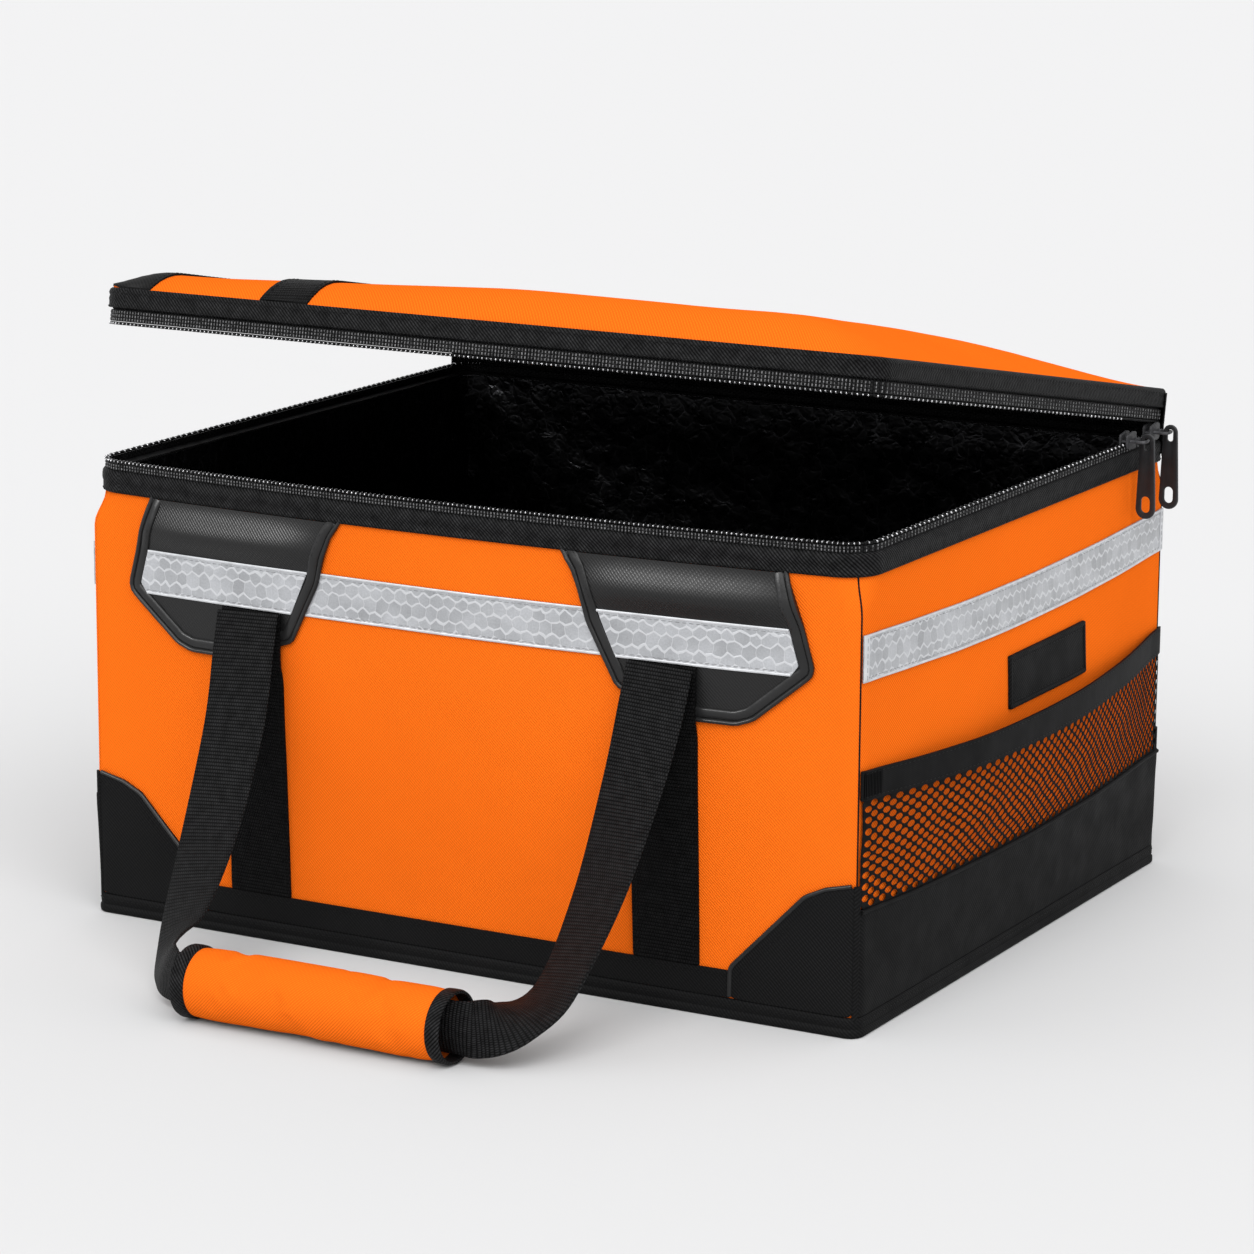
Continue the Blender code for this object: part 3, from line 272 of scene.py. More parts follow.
def rounded(points, radius, closed=True, steps=4):
    """The outline with its corners rounded."""
    made = []
    last = len(points) - 1
    for k, point in enumerate(points):
        here = Vector(point)
        if not closed and k in (0, last):
            made.append(here)
            continue
        back = Vector(points[k - 1]) - here
        ahead = Vector(points[(k + 1) % len(points)]) - here
        half = back.angle(ahead) / 2
        cut = min(radius / tan(half), back.length * 0.45, ahead.length * 0.45)
        start, end = here + cut * back.normalized(), here + cut * ahead.normalized()
        for t in spaced(0.0, 1.0, steps):
            made.append((1 - t) ** 2 * start + 2 * t * (1 - t) * here + t * t * end)
    return made


def resampled(path, step, closed=False):
    """Points at an even step along the path, with the path's own length."""
    ends = path[1:] + path[:1] if closed else path[1:]
    lengths = [0.0]
    for here, there in zip(path, ends):
        lengths.append(lengths[-1] + (there - here).length)
    total = lengths[-1]
    cells = max(round(total / step), 1)
    made = []
    cell = 0
    for target in spaced(0.0, total, cells)[: cells if closed else cells + 1]:
        while cell < len(lengths) - 2 and lengths[cell + 1] < target:
            cell += 1
        span = lengths[cell + 1] - lengths[cell]
        share = (target - lengths[cell]) / span if span else 0.0
        made.append(path[cell].lerp(ends[cell], share))
    return made, total


def inward_ways(path, closed):
    """The way inward at each point of a path, taken on its left."""
    ways = []
    last = len(path) - 1
    for k in range(len(path)):
        before = path[k - 1] if closed or k else path[k]
        after = path[(k + 1) % len(path)] if closed or k < last else path[k]
        ahead = (after - before).normalized()
        ways.append(Vector((-ahead.y, ahead.x)))
    return ways


def inset(path, distance, closed=False):
    """The path moved to its left."""
    return [point + distance * way for point, way in zip(path, inward_ways(path, closed))]


def level(height, start, end, cells):
    """A path across from start to end, at one height or at height(u)."""
    return [Vector((u, height(u) if callable(height) else height)) for u in spaced(start, end, cells)]


def upright(u, low, high, cells):
    """A path upward at one place across."""
    return [Vector((u, z)) for z in spaced(low, high, cells)]


def anticlockwise(points):
    """The outline in the order that has its inside on the left."""
    area = sum(a[0] * b[1] - b[0] * a[1] for a, b in zip(points, points[1:] + points[:1]))
    return points if area > 0 else points[::-1]


# Surfaces


def flat_point(x, y, out):
    """A level surface at the floor's height."""
    return Vector((x, y, out))


def raised(surface, rise):
    """A surface moved outward by rise(u, z)."""
    return lambda u, z, out: surface(u, z, out + rise(u, z))


class Wall:
    """One wall of the body, from its left corner to its right corner seen from outside."""

    def __init__(self, turns, half_length, half_depth, bow, rim_bow, radii, seed):
        self.turn = Matrix.Rotation(turns * pi / 2, 3, "Z")
        self.half_length = half_length
        self.half_depth = half_depth
        self.bow = bow
        self.rim_bow = rim_bow
        self.radii = radii
        self.seed = seed

    def corner_radius(self, u, z):
        rim = self.radii[1] if u > 0 else self.radii[0]
        if z < MID_HEIGHT:
            return mixed(FOOT_RADIUS, CORNER_RADIUS, eased(z, FOOT_TOP, MID_HEIGHT))
        return mixed(CORNER_RADIUS, rim, eased(z, FLARE_START, TRIM_TOP))

    def bulge(self, u, z):
        """How far the wall bows out, with the cloth's slow ripples."""
        rise = min(max((z - FOOT_TOP) / (TRIM_TOP - FOOT_TOP), 0.0), 1.0)
        across = max(0.0, 1 - (u / (self.half_length - max(self.radii))) ** 2)
        crest = sin(pi / 2 * rise) if self.rim_bow else sin(pi * rise)
        fade = eased(self.half_length - abs(u), 0.004, 0.045) * eased(z, 0.015, 0.05) * (1 - eased(z, 0.215, 0.252))
        slow = wobble(u, z, 0.0, 0.11, self.seed) + 0.4 * wobble(u, z, 0.3, 0.042, self.seed)
        return self.bow * across * crest + RIPPLE * fade * slow

    def point(self, u, z, out=0.0):
        """The place over u and z, moved outward by out."""
        if out < 0:
            base = self.local(u, z, 0.0)
            return self.turn @ (base + out * Vector((u / self.half_length, -1, 0))) + z * UP
        return self.turn @ self.local(u, z, out) + z * UP

    def local(self, u, z, out):
        radius = self.corner_radius(u, z)
        beyond = abs(u) - (self.half_length - radius)
        if beyond <= 0:
            return Vector((u, -self.half_depth - self.bulge(u, z) - out, 0))
        angle = beyond / radius * pi / 4
        reach = radius + out
        across = self.half_length - radius + reach * sin(angle)
        return Vector((copysign(across, u), radius - self.half_depth - reach * cos(angle), 0))


WALLS = {
    "front": Wall(0, HALF_WIDTH, HALF_DEPTH, FRONT_BOW, True, (FRONT_RIM_RADIUS, FRONT_RIM_RADIUS), 1.7),
    "right": Wall(1, HALF_DEPTH, HALF_WIDTH, SIDE_BOW, False, (FRONT_RIM_RADIUS, REAR_RIM_RADIUS), 5.3),
    "rear": Wall(2, HALF_WIDTH, HALF_DEPTH, REAR_BOW, False, (REAR_RIM_RADIUS, REAR_RIM_RADIUS), 9.1),
    "left": Wall(3, HALF_DEPTH, HALF_WIDTH, SIDE_BOW, False, (REAR_RIM_RADIUS, FRONT_RIM_RADIUS), 13.9),
}


def front_bow(x):
    """How far the rim bows forward at x."""
    return FRONT_BOW * max(0.0, 1 - (x / (HALF_WIDTH - FRONT_RIM_RADIUS)) ** 2)


# The lid's turn about the hinge line, from shut to ajar
HINGE = Vector((0, HINGE_Y, HINGE_Z))
LID_TURN = Matrix.Translation(HINGE) @ Matrix.Rotation(-LID_AJAR, 4, "X") @ Matrix.Translation(-HINGE)


def shoulder(inward, reach):
    """How much of the crown's height is reached at a distance inward of an edge."""
    return 1 - (1 - min(max(inward / reach, 0.0), 1.0)) ** SHOULDER_POWER


def lid_point(x, y, out=0.0):
    """The place over x and y on the lid's cloth, ajar, moved upward by out."""
    near = -HALF_DEPTH - front_bow(x)
    crown = shoulder(HALF_WIDTH - abs(x), LEFT_SHOULDER if x < 0 else RIGHT_SHOULDER)
    crown *= shoulder(y - near, FRONT_SHOULDER)
    crown *= shoulder(HALF_DEPTH - y, REAR_SHOULDER) * mixed(0.56, 1.0, eased(x, -0.225, 0.05))
    slow = 0.0009 * crown * (wobble(x, y, 0.0, 0.12, 3.3) + 0.4 * wobble(x, y, 0.2, 0.045, 3.3))
    return LID_TURN @ Vector((x, y, HINGE_Z + LID_TOP + LID_CROWN * crown + slow + out))


def stations_round(cells, corner_cells, radii=None):
    """Places and outward ways round the body, starting at the front wall's left.

    They follow the rim's own corners and bow, or else plain corners of the radii given.
    """
    stations = []
    for wall in WALLS.values():
        low, high = radii or wall.radii
        bowed = wall.rim_bow and not radii
        for u in spaced(low - wall.half_length, wall.half_length - high, cells)[:-1]:
            bow = front_bow(u) if bowed else 0.0
            stations.append((wall.turn @ Vector((u, -wall.half_depth - bow, 0)), wall.turn @ Vector((0, -1, 0))))
        centre = Vector((wall.half_length - high, high - wall.half_depth, 0))
        for angle in spaced(0.0, pi / 2, corner_cells)[:-1]:
            way = Vector((sin(angle), -cos(angle), 0))
            stations.append((wall.turn @ (centre + high * way), wall.turn @ way))
    return stations


def rim_stations():
    return stations_round(56, 8)


# Meshes


def add_piece(name, mesh, finish, replaced=(), body="bag", sharp=42.0):
    """Hang a finished mesh on its body, in place of the solids it stands for."""
    material, slot = FINISHES[finish]
    mesh.name = name
    mesh.materials.append(material())
    mesh.shade_smooth()
    mesh.set_sharp_from_angle(angle=radians(sharp))
    piece = bpy.data.objects.new(name, mesh)
    bpy.context.scene.collection.objects.link(piece)
    if body:
        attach(piece, body)
    if replaced:
        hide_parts(*replaced)
    return piece


def to_mesh(builder):
    """Close a builder into a mesh whose faces look outward."""
    bmesh.ops.recalc_face_normals(builder, faces=builder.faces)
    if builder.calc_volume(signed=True) < 0:
        bmesh.ops.reverse_faces(builder, faces=builder.faces)
    return plain_mesh(builder)


def plain_mesh(builder):
    """Close a builder into a mesh as it is."""
    mesh = bpy.data.meshes.new("piece")
    builder.to_mesh(mesh)
    builder.free()
    return mesh


def joined(meshes):
    """Several meshes as one."""
    builder = bmesh.new()
    for mesh in meshes:
        builder.from_mesh(mesh)
        bpy.data.meshes.remove(mesh)
    return plain_mesh(builder)


def extruded(builder):
    """Give a builder's faces a second layer, and return that layer's corners."""
    grown = bmesh.ops.extrude_face_region(builder, geom=builder.faces[:])
    return {item for item in grown["geom"] if isinstance(item, bmesh.types.BMVert)}


def join_rings(builder, rings):
    """Faces between each closed ring of corners and the next."""
    for here, there in zip(rings, rings[1:]):
        for k in range(len(here)):
            nxt = (k + 1) % len(here)
            builder.faces.new((here[k], here[nxt], there[nxt], there[k]))


def cut_sheet(surface, outline, low, thickness, cell=0.008, bevel=0.0004, rise=None):
    """A closed sheet cut to an outline and laid on a surface.

    low is its distance off the surface, and rise adds to the outer face only.
    """
    builder = bmesh.new()
    layer = builder.loops.layers.uv.new("UVMap")
    builder.faces.new([builder.verts.new((point[0], point[1], 0)) for point in outline])
    for axis, normal in enumerate((Vector((1, 0, 0)), Vector((0, 1, 0)))):
        values = [point[axis] for point in outline]
        start, end = min(values), max(values)
        for line in spaced(start, end, max(round((end - start) / cell), 1))[1:-1]:
            everything = builder.verts[:] + builder.edges[:] + builder.faces[:]
            bmesh.ops.bisect_plane(builder, geom=everything, dist=1e-7, plane_co=line * normal, plane_no=normal)
    upper = extruded(builder)
    for vertex in upper:
        vertex.co.z = thickness
    if bevel:
        rim = [
            edge for edge in builder.edges
            if edge.verts[0] in upper and edge.verts[1] in upper
            and any(any(v not in upper for v in face.verts) for face in edge.link_faces)
        ]
        bmesh.ops.bevel(builder, geom=rim, offset=bevel, segments=2, profile=0.5, affect="EDGES", clamp_overlap=True)
    for face in builder.faces:
        for loop in face.loops:
            place = loop.vert.co
            loop[layer].uv = (place.x + place.z, place.y + place.z)
    for vertex in builder.verts:
        u, v, above = vertex.co
        base = low(u, v) if callable(low) else low
        extra = rise(u, v) * min(above / thickness, 1.0) if rise else 0.0
        vertex.co = surface(u, v, base + above + extra)
    return to_mesh(builder)


def loft(sections, ring=False):
    """A skin through closed sections, with its cloth coordinates in metres."""
    builder = bmesh.new()
    layer = builder.loops.layers.uv.new("UVMap")
    loops = [[builder.verts.new(point) for point in section] for section in sections]
    count = len(sections[0])
    around = [0.0]
    for k in range(count):
        around.append(around[-1] + (sections[0][(k + 1) % count] - sections[0][k]).length)
    centres = [sum(section, Vector((0, 0, 0))) / count for section in sections]
    along = [0.0]
    following = centres[1:] + centres[:1] if ring else centres[1:]
    for here, there in zip(centres, following):
        along.append(along[-1] + (there - here).length)
    pairs = zip(loops, loops[1:] + loops[:1]) if ring else zip(loops, loops[1:])
    for row, (here, there) in enumerate(pairs):
        for k in range(count):
            nxt = (k + 1) % count
            face = builder.faces.new((here[k], here[nxt], there[nxt], there[k]))
            corners = ((row, k), (row, k + 1), (row + 1, k + 1), (row + 1, k))
            for loop, (a, b) in zip(face.loops, corners):
                loop[layer].uv = (along[a], around[b])
    if not ring:
        for end in (loops[0], loops[-1]):
            face = builder.faces.new(end)
            for k, loop in enumerate(face.loops):
                loop[layer].uv = (around[k], around[k])
    return to_mesh(builder)


def coil_profile(height):
    """The zipper coil's oval section, as distances outward and heights."""
    wide, tall = COIL_RADII
    return [(COIL_OUT + wide * cos(angle), height + tall * sin(angle)) for angle in round_angles(10)]


def tape_profile(low, high):
    """The zipper tape's section with soft corners, as distances outward and heights."""
    corners = ((TAPE_OUT, low), (TAPE_OUT, high), (TAPE_IN, high), (TAPE_IN, low))
    return rounded(corners, 0.0003, steps=3)


def hoop(stations, profile, turn=STILL):
    """A profile swept round a loop of stations."""
    return loft([[turn @ (place + out * way + height * UP) for out, height in profile]
                 for place, way in stations], ring=True)


def welt(surface, path, profile, base, closed=False):
    """A profile, given as distance inward and height, swept along a path on a surface."""
    sections = []
    for point, way in zip(path, inward_ways(path, closed)):
        sections.append([surface(*(point + d * way), base + h) for d, h in profile])
    return loft(sections, ring=closed)


class Beads:
    """Many small oval beads in one mesh, such as stitches or zipper teeth."""

    PROFILE = ((-0.5, 0.35), (-0.36, 0.85), (0.36, 0.85), (0.5, 0.35))

    def __init__(self, sides=6):
        self.sides = sides
        self.places = []
        self.faces = []

    def add(self, centre, along, up, length, width, height):
        """One bead, given its middle, its lengthwise way and its upward way."""
        along = along.normalized()
        across = along.cross(up).normalized()
        up = across.cross(along)
        first = len(self.places)
        for share, girth in self.PROFILE:
            for k in range(self.sides):
                angle = 2 * pi * k / self.sides
                offset = girth * (width * cos(angle) * across + height * sin(angle) * up)
                self.places.append(centre + share * length * along + offset)
        rows = len(self.PROFILE)
        for row in range(rows - 1):
            for k in range(self.sides):
                nxt = (k + 1) % self.sides
                a, b = first + row * self.sides, first + (row + 1) * self.sides
                self.faces.append((a + k, a + nxt, b + nxt, b + k))
        self.faces.append(tuple(first + k for k in reversed(range(self.sides))))
        self.faces.append(tuple(first + (rows - 1) * self.sides + k for k in range(self.sides)))

    def stitch_path(self, surface, path, out, closed=False):
        """Stitches at an even pitch along a path on a surface."""
        pitch, length, radius = sizes().stitch_pitch, sizes().stitch_length, sizes().stitch_radius
        fine, total = resampled(path, pitch / 6, closed)
        count = max(round(total / pitch), 1)
        for k in range(count):
            at = (k + 0.5) / count * (len(fine) - 1)
            here = fine[int(at)]
            there = fine[min(int(at) + 1, len(fine) - 1)]
            if (there - here).length < 1e-9:
                continue
            way = (there - here).normalized()
            start = surface(*(here - way * length / 2), out)
            end = surface(*(here + way * length / 2), out)
            above = surface(*here, out + radius)
            middle = (start + end) / 2
            self.add(middle, end - start, above - middle, length, radius * 1.15, radius)

    def stitch_hoop(self, stations, out, height, turn=STILL):
        """Stitches round a loop of stations."""
        pitch, length, radius = sizes().stitch_pitch, sizes().stitch_length, sizes().stitch_radius
        ways = turn.to_3x3()
        for place, way, ahead in walk(stations, pitch):
            centre = turn @ (place + out * way + height * UP)
            self.add(centre, ways @ ahead, ways @ way, length, radius * 1.15, radius)

    def mesh(self):
        made = bpy.data.meshes.new("beads")
        made.from_pydata([tuple(place) for place in self.places], [], self.faces)
        return made


def walk(stations, pitch):
    """Places, outward ways and ways ahead at an even pitch round a loop of stations."""
    following = stations[1:] + stations[:1]
    lengths = [(b[0] - a[0]).length for a, b in zip(stations, following)]
    total = sum(lengths)
    count = round(total / pitch)
    made = []
    cell, before = 0, 0.0
    for k in range(count):
        target = (k + 0.5) * total / count
        while cell < len(lengths) - 1 and before + lengths[cell] < target:
            before += lengths[cell]
            cell += 1
        share = (target - before) / lengths[cell]
        (place, way), (place_b, way_b) = stations[cell], following[cell]
        made.append((place.lerp(place_b, share), way.lerp(way_b, share).normalized(), (place_b - place).normalized()))
    return made


# Node groups


def put(tree, kind, inputs=None, **settings):
    """A node with its settings, its values and its links in place."""
    made = tree.nodes.new(kind)
    for key, value in settings.items():
        setattr(made, key, value)
    for socket, value in (inputs or {}).items():
        if isinstance(value, bpy.types.NodeSocket):
            tree.links.new(value, made.inputs[socket])
        else:
            made.inputs[socket].default_value = value
    return made


def calc(tree, operation, *values):
    """The result of one sum."""
    return put(tree, "ShaderNodeMath", dict(enumerate(values)), operation=operation).outputs[0]


def vector_calc(tree, operation, *values):
    """The result of one sum of vectors."""
    return put(tree, "ShaderNodeVectorMath", dict(enumerate(values)), operation=operation).outputs[0]


def wave(tree, value, factor):
    """The sine of a value times a factor, brought between 0 and 1."""
    return calc(tree, "MULTIPLY_ADD", calc(tree, "SINE", calc(tree, "MULTIPLY", value, factor)), 0.5, 0.5)


def ranged(tree, value, start, end, low, high):
    """A value mapped from start and end to low and high."""
    return put(tree, "ShaderNodeMapRange", dict(enumerate((value, start, end, low, high)))).outputs[0]


def speckle(tree, place, scale, detail):
    """The outputs of a noise texture."""
    return put(tree, "ShaderNodeTexNoise", {"Vector": place, "Scale": scale, "Detail": detail}).outputs


def parts(tree, vector):
    """The three parts of a vector."""
    return put(tree, "ShaderNodeSeparateXYZ", {0: vector}).outputs


def blended(tree, share, under, over):
    """A colour that turns from one to the other by a share."""
    return put(tree, "ShaderNodeMix", {0: share, 6: under, 7: over}, data_type="RGBA").outputs[2]


def start_group(name, inputs, outputs):
    """An empty node group, with its inputs' defaults (None for a vector) and its outputs' kinds."""
    tree = bpy.data.node_groups.new(name, "ShaderNodeTree")
    for label, default in inputs.items():
        kind = "Vector" if default is None else "Color" if isinstance(default, tuple) else "Float"
        socket = tree.interface.new_socket(label, in_out="INPUT", socket_type=f"NodeSocket{kind}")
        if default is not None:
            socket.default_value = default
    for label, kind in outputs.items():
        tree.interface.new_socket(label, in_out="OUTPUT", socket_type=f"NodeSocket{kind}")
    return tree, tree.nodes.new("NodeGroupInput").outputs, tree.nodes.new("NodeGroupOutput").inputs


def once(build):
    """Build a node group only the first time that it is asked for."""
    def get():
        known = bpy.data.node_groups.get(build.__doc__)
        return known or build(build.__doc__)
    return get


@once
def twill_group(name):
    """Twill Weave"""
    tree, given, wanted = start_group(name, {"Vector": None, "Pitch": 0.0013}, {"Height": "Float"})
    drift = speckle(tree, given["Vector"], 60.0, 1.0)
    x, y, _ = parts(tree, given["Vector"])
    lean = calc(tree, "MULTIPLY", drift["Fac"], 0.0012)
    across = calc(tree, "ADD", calc(tree, "ADD", x, y), lean)
    ribs = wave(tree, calc(tree, "DIVIDE", across, given["Pitch"]), 4.443)
    down = calc(tree, "DIVIDE", calc(tree, "SUBTRACT", x, y), given["Pitch"])
    yarns = wave(tree, down, 2.9)
    shaped = calc(tree, "MULTIPLY", ribs, calc(tree, "MULTIPLY_ADD", yarns, 0.35, 0.65))
    tree.links.new(shaped, wanted["Height"])
    return tree


@once
def webbing_group(name):
    """Basket Webbing"""
    tree, given, wanted = start_group(
        name, {"Vector": None, "Row Pitch": 0.0018, "Column Pitch": 0.0014}, {"Height": "Float"})
    x, y, _ = parts(tree, given["Vector"])
    row = calc(tree, "DIVIDE", x, given["Row Pitch"])
    rows = calc(tree, "ABSOLUTE", calc(tree, "SINE", calc(tree, "MULTIPLY", row, pi)))
    shift = calc(tree, "MULTIPLY", calc(tree, "FLOOR", row), pi / 2)
    column = calc(tree, "DIVIDE", calc(tree, "MULTIPLY", y, pi), given["Column Pitch"])
    columns = calc(tree, "ABSOLUTE", calc(tree, "SINE", calc(tree, "ADD", column, shift)))
    height = calc(tree, "MULTIPLY", calc(tree, "POWER", rows, 0.7), calc(tree, "MULTIPLY_ADD", columns, 0.75, 0.25))
    tree.links.new(height, wanted["Height"])
    return tree


@once
def tone_group(name):
    """Soft Tone"""
    tree, given, wanted = start_group(
        name, {"Vector": None, "Colour": (0.5, 0.5, 0.5, 1.0), "Scale": 9.0, "Low": 0.9, "High": 1.1, "Weave": 1.0},
        {"Colour": "Color"})
    slow = speckle(tree, given["Vector"], given["Scale"], 3.0)["Fac"]
    factor = calc(tree, "MULTIPLY", ranged(tree, slow, 0.3, 0.7, given["Low"], given["High"]), given["Weave"])
    scaled = put(tree, "ShaderNodeVectorMath", {0: given["Colour"], "Scale": factor}, operation="SCALE")
    tree.links.new(scaled.outputs[0], wanted["Colour"])
    return tree


@once
def grain_group(name):
    """Fine Grain"""
    tree, given, wanted = start_group(name, {"Vector": None, "Size": 0.001}, {"Height": "Float"})
    scale = calc(tree, "DIVIDE", 1.0, given["Size"])
    pebbles = put(tree, "ShaderNodeTexVoronoi", {"Vector": given["Vector"], "Scale": scale}, feature="SMOOTH_F1")
    dust = speckle(tree, given["Vector"], scale, 2.0)
    height = calc(tree, "MULTIPLY_ADD", dust["Fac"], 0.6, pebbles.outputs["Distance"])
    tree.links.new(height, wanted["Height"])
    return tree


@once
def crinkle_group(name):
    """Foil Crinkle"""
    tree, given, wanted = start_group(
        name, {"Vector": None, "Size": 0.012}, {"Height": "Float", "Crease Glint": "Float"})
    scale = calc(tree, "DIVIDE", 1.0, given["Size"])
    warp = speckle(tree, given["Vector"], scale, 2.0)
    bent = vector_calc(tree, "MULTIPLY_ADD", warp["Color"], (0.010, 0.010, 0.010), given["Vector"])
    large, small = (
        put(tree, "ShaderNodeTexVoronoi", {"Vector": bent, "Scale": size}, feature="DISTANCE_TO_EDGE").outputs[
            "Distance"] for size in (scale, calc(tree, "MULTIPLY", scale, 2.3)))
    height = calc(tree, "MULTIPLY_ADD", small, 0.5, large)
    # Crease Glint is a painted highlight: a mask of thin lines along the larger creases, kept only where the noise is
    # high, which the foil finish lightens.
    fold = ranged(tree, large, 0.0, 0.07, 1.0, 0.0)
    crease_glint = calc(tree, "MULTIPLY", fold, calc(tree, "POWER", warp["Fac"], 3.0))
    tree.links.new(height, wanted["Height"])
    tree.links.new(crease_glint, wanted["Crease Glint"])
    return tree


@once
def cell_group(name):
    """Reflector Cells"""
    tree, given, wanted = start_group(
        name, {"Vector": None, "Pitch": 0.0095, "Line": 0.05}, {"Line": "Float", "Cell": "Float"})

    def vector(operation, *values):
        return vector_calc(tree, operation, *values)

    share = calc(tree, "DIVIDE", 1.0, given["Pitch"])
    scaled = put(tree, "ShaderNodeVectorMath", {0: given["Vector"], "Scale": share}, operation="SCALE").outputs[0]
    warp = speckle(tree, scaled, 0.9, 1.0)
    scaled = vector("MULTIPLY_ADD", warp["Color"], (0.60, 0.60, 0.0), scaled)
    half = (0.5, sqrt(0.75), 0.5)
    minus_half = tuple(-part for part in half)
    first = vector("WRAP", scaled, half, minus_half)
    second = vector("WRAP", vector("SUBTRACT", scaled, half), half, minus_half)
    lengths = [
        put(tree, "ShaderNodeVectorMath", {0: way}, operation="LENGTH").outputs["Value"] for way in (first, second)]
    nearer = calc(tree, "LESS_THAN", *lengths)
    local = put(tree, "ShaderNodeMix", {0: nearer, 4: second, 5: first}, data_type="VECTOR").outputs[1]
    x, y, _ = parts(tree, vector("ABSOLUTE", local))
    slant = calc(tree, "MULTIPLY_ADD", y, sqrt(0.75), calc(tree, "MULTIPLY", x, 0.5))
    edge = calc(tree, "SUBTRACT", 0.5, calc(tree, "MAXIMUM", x, slant))
    middle = vector("SNAP", vector("SUBTRACT", scaled, local), (0.25, 0.25, 9.0))
    cell = put(tree, "ShaderNodeTexWhiteNoise", {0: middle})
    tree.links.new(ranged(tree, edge, 0.0, given["Line"], 1.0, 0.0), wanted["Line"])
    tree.links.new(cell.outputs["Value"], wanted["Cell"])
    return tree


# A mask along the two sewn grooves of a piped edge, which the piped finish uses to paint shade into them.
@once
def groove_shade_group(name):
    """Sewn Grooves"""
    tree, given, wanted = start_group(
        name, {"Vector": None, "First": 0.0052, "Second": 0.0119, "Width": 0.0007}, {"Mask": "Float"})
    _, y, _ = parts(tree, given["Vector"])
    masks = []
    for place in ("First", "Second"):
        away = calc(tree, "ABSOLUTE", calc(tree, "SUBTRACT", y, given[place]))
        masks.append(ranged(tree, away, calc(tree, "MULTIPLY", given["Width"], 0.5), given["Width"], 1.0, 0.0))
    tree.links.new(calc(tree, "MAXIMUM", *masks), wanted["Mask"])
    return tree


@once
def wear_and_highlight_group(name):
    """Edge Wear"""
    tree, given, wanted = start_group(name, {"Scale": 300.0}, {"Mask": "Float"})
    shape = put(tree, "ShaderNodeNewGeometry").outputs
    place = put(tree, "ShaderNodeTexCoord").outputs
    ridge = ranged(tree, shape["Pointiness"], 0.52, 0.60, 0.0, 1.0)
    broken = speckle(tree, place["Object"], given["Scale"], 3.0)
    mask = calc(tree, "MULTIPLY", ridge, broken["Fac"])
    tree.links.new(mask, wanted["Mask"])
    return tree


# Materials


class Finish:
    """One material under construction."""

    def __init__(self, name, roughness, shine=0.5, coordinates="UV", metallic=0.0):
        self.material = bpy.data.materials.new(name)
        self.material.use_nodes = True
        self.tree = self.material.node_tree
        self.shader = self.tree.nodes["Principled BSDF"]
        for label, value in (("Roughness", roughness), ("Metallic", metallic), ("Specular IOR Level", shine)):
            self.shader.inputs[label].default_value = value
        self.place = put(self.tree, "ShaderNodeTexCoord").outputs[coordinates]

    def link(self, label, value):
        """Feed one of the shader's sockets."""
        self.tree.links.new(value, self.shader.inputs[label])

    def group(self, tree, **inputs):
        """The outputs of a node group laid over this finish's coordinates."""
        given = {label.replace("_", " "): value for label, value in inputs.items()}
        return put(self.tree, "ShaderNodeGroup", {"Vector": self.place, **given}, node_tree=tree).outputs

    def mapped(self, height, low, high):
        """Low between the yarns and high on them."""
        return ranged(self.tree, height, 0.0, 1.0, low, high)

    def colour(self, value, scale, low, high, weave=1.0):
        """A base colour that varies slowly, times the weave."""
        tone = self.group(tone_group(), Colour=(*value, 1.0), Scale=scale, Low=low, High=high, Weave=weave)["Colour"]
        self.link("Base Color", tone)
        return tone

    def twill(self, pitch):
        """The height of a diagonal weave."""
        return self.group(twill_group(), Pitch=pitch)["Height"]

    def bump(self, height, distance, strength=1.0, before=None):
        """Relief of a height in metres, over the relief before it."""
        relief = {"Height": height, "Distance": distance, "Strength": strength}
        made = put(self.tree, "ShaderNodeBump", relief if before is None else {**relief, "Normal": before}).outputs[0]
        self.link("Normal", made)
        return made

    def noise(self, scale, detail=2.0):
        return speckle(self.tree, self.place, scale, detail)["Fac"]

    def vary_roughness(self, scale, low, high):
        self.link("Roughness", ranged(self.tree, self.noise(scale), 0.3, 0.7, low, high))


def kept(build):
    """Build a material only the first time that it is asked for."""
    def get():
        known = bpy.data.materials.get(build.__doc__)
        return known or build(build.__doc__).material
    return get


@kept
def orange_cloth(name):
    """Orange Oxford Cloth"""
    made = Finish(name, 0.80, 0.0)
    weave = made.twill(sizes().twill_pitch)
    lit = made.colour(colours().cloth, 7.0, 0.965, 1.03, made.mapped(weave, 0.76, 1.15))
    # The cloth would tint the pale floor beside it, so light that it passes on is paler.
    rays = put(made.tree, "ShaderNodeLightPath").outputs
    made.link("Base Color", blended(made.tree, rays["Is Diffuse Ray"], lit, CLOTH_GLOW))
    slow = made.bump(made.noise(38.0), 0.0012, 0.5)
    made.bump(weave, 0.00022, 0.9, slow)
    return made


@kept
def coated_twill(name):
    """Black Coated Twill"""
    made = Finish(name, 0.32, 0.32)
    weave = made.twill(sizes().twill_pitch * 1.1)
    made.colour(colours().coated, 12.0, 0.8, 1.1, made.mapped(weave, 0.05, 1.2))
    slow = made.bump(made.noise(60.0), 0.0004, 0.4)
    made.bump(weave, 0.00008, 1.0, slow)
    made.link("Roughness", made.mapped(weave, 0.46, 0.24))
    return made


@kept
def coated_smooth(name):
    """Black Coated Cloth"""
    made = Finish(name, 0.55, 0.03)
    weave = made.twill(sizes().twill_pitch * 1.2)
    made.colour(colours().coated, 14.0, 0.90, 1.12, made.mapped(weave, 0.45, 1.25))
    slow = made.bump(made.noise(45.0, 3.0), 0.0009, 0.5)
    made.bump(weave, 0.00012, 0.8, slow)
    made.vary_roughness(50.0, 0.48, 0.62)
    return made


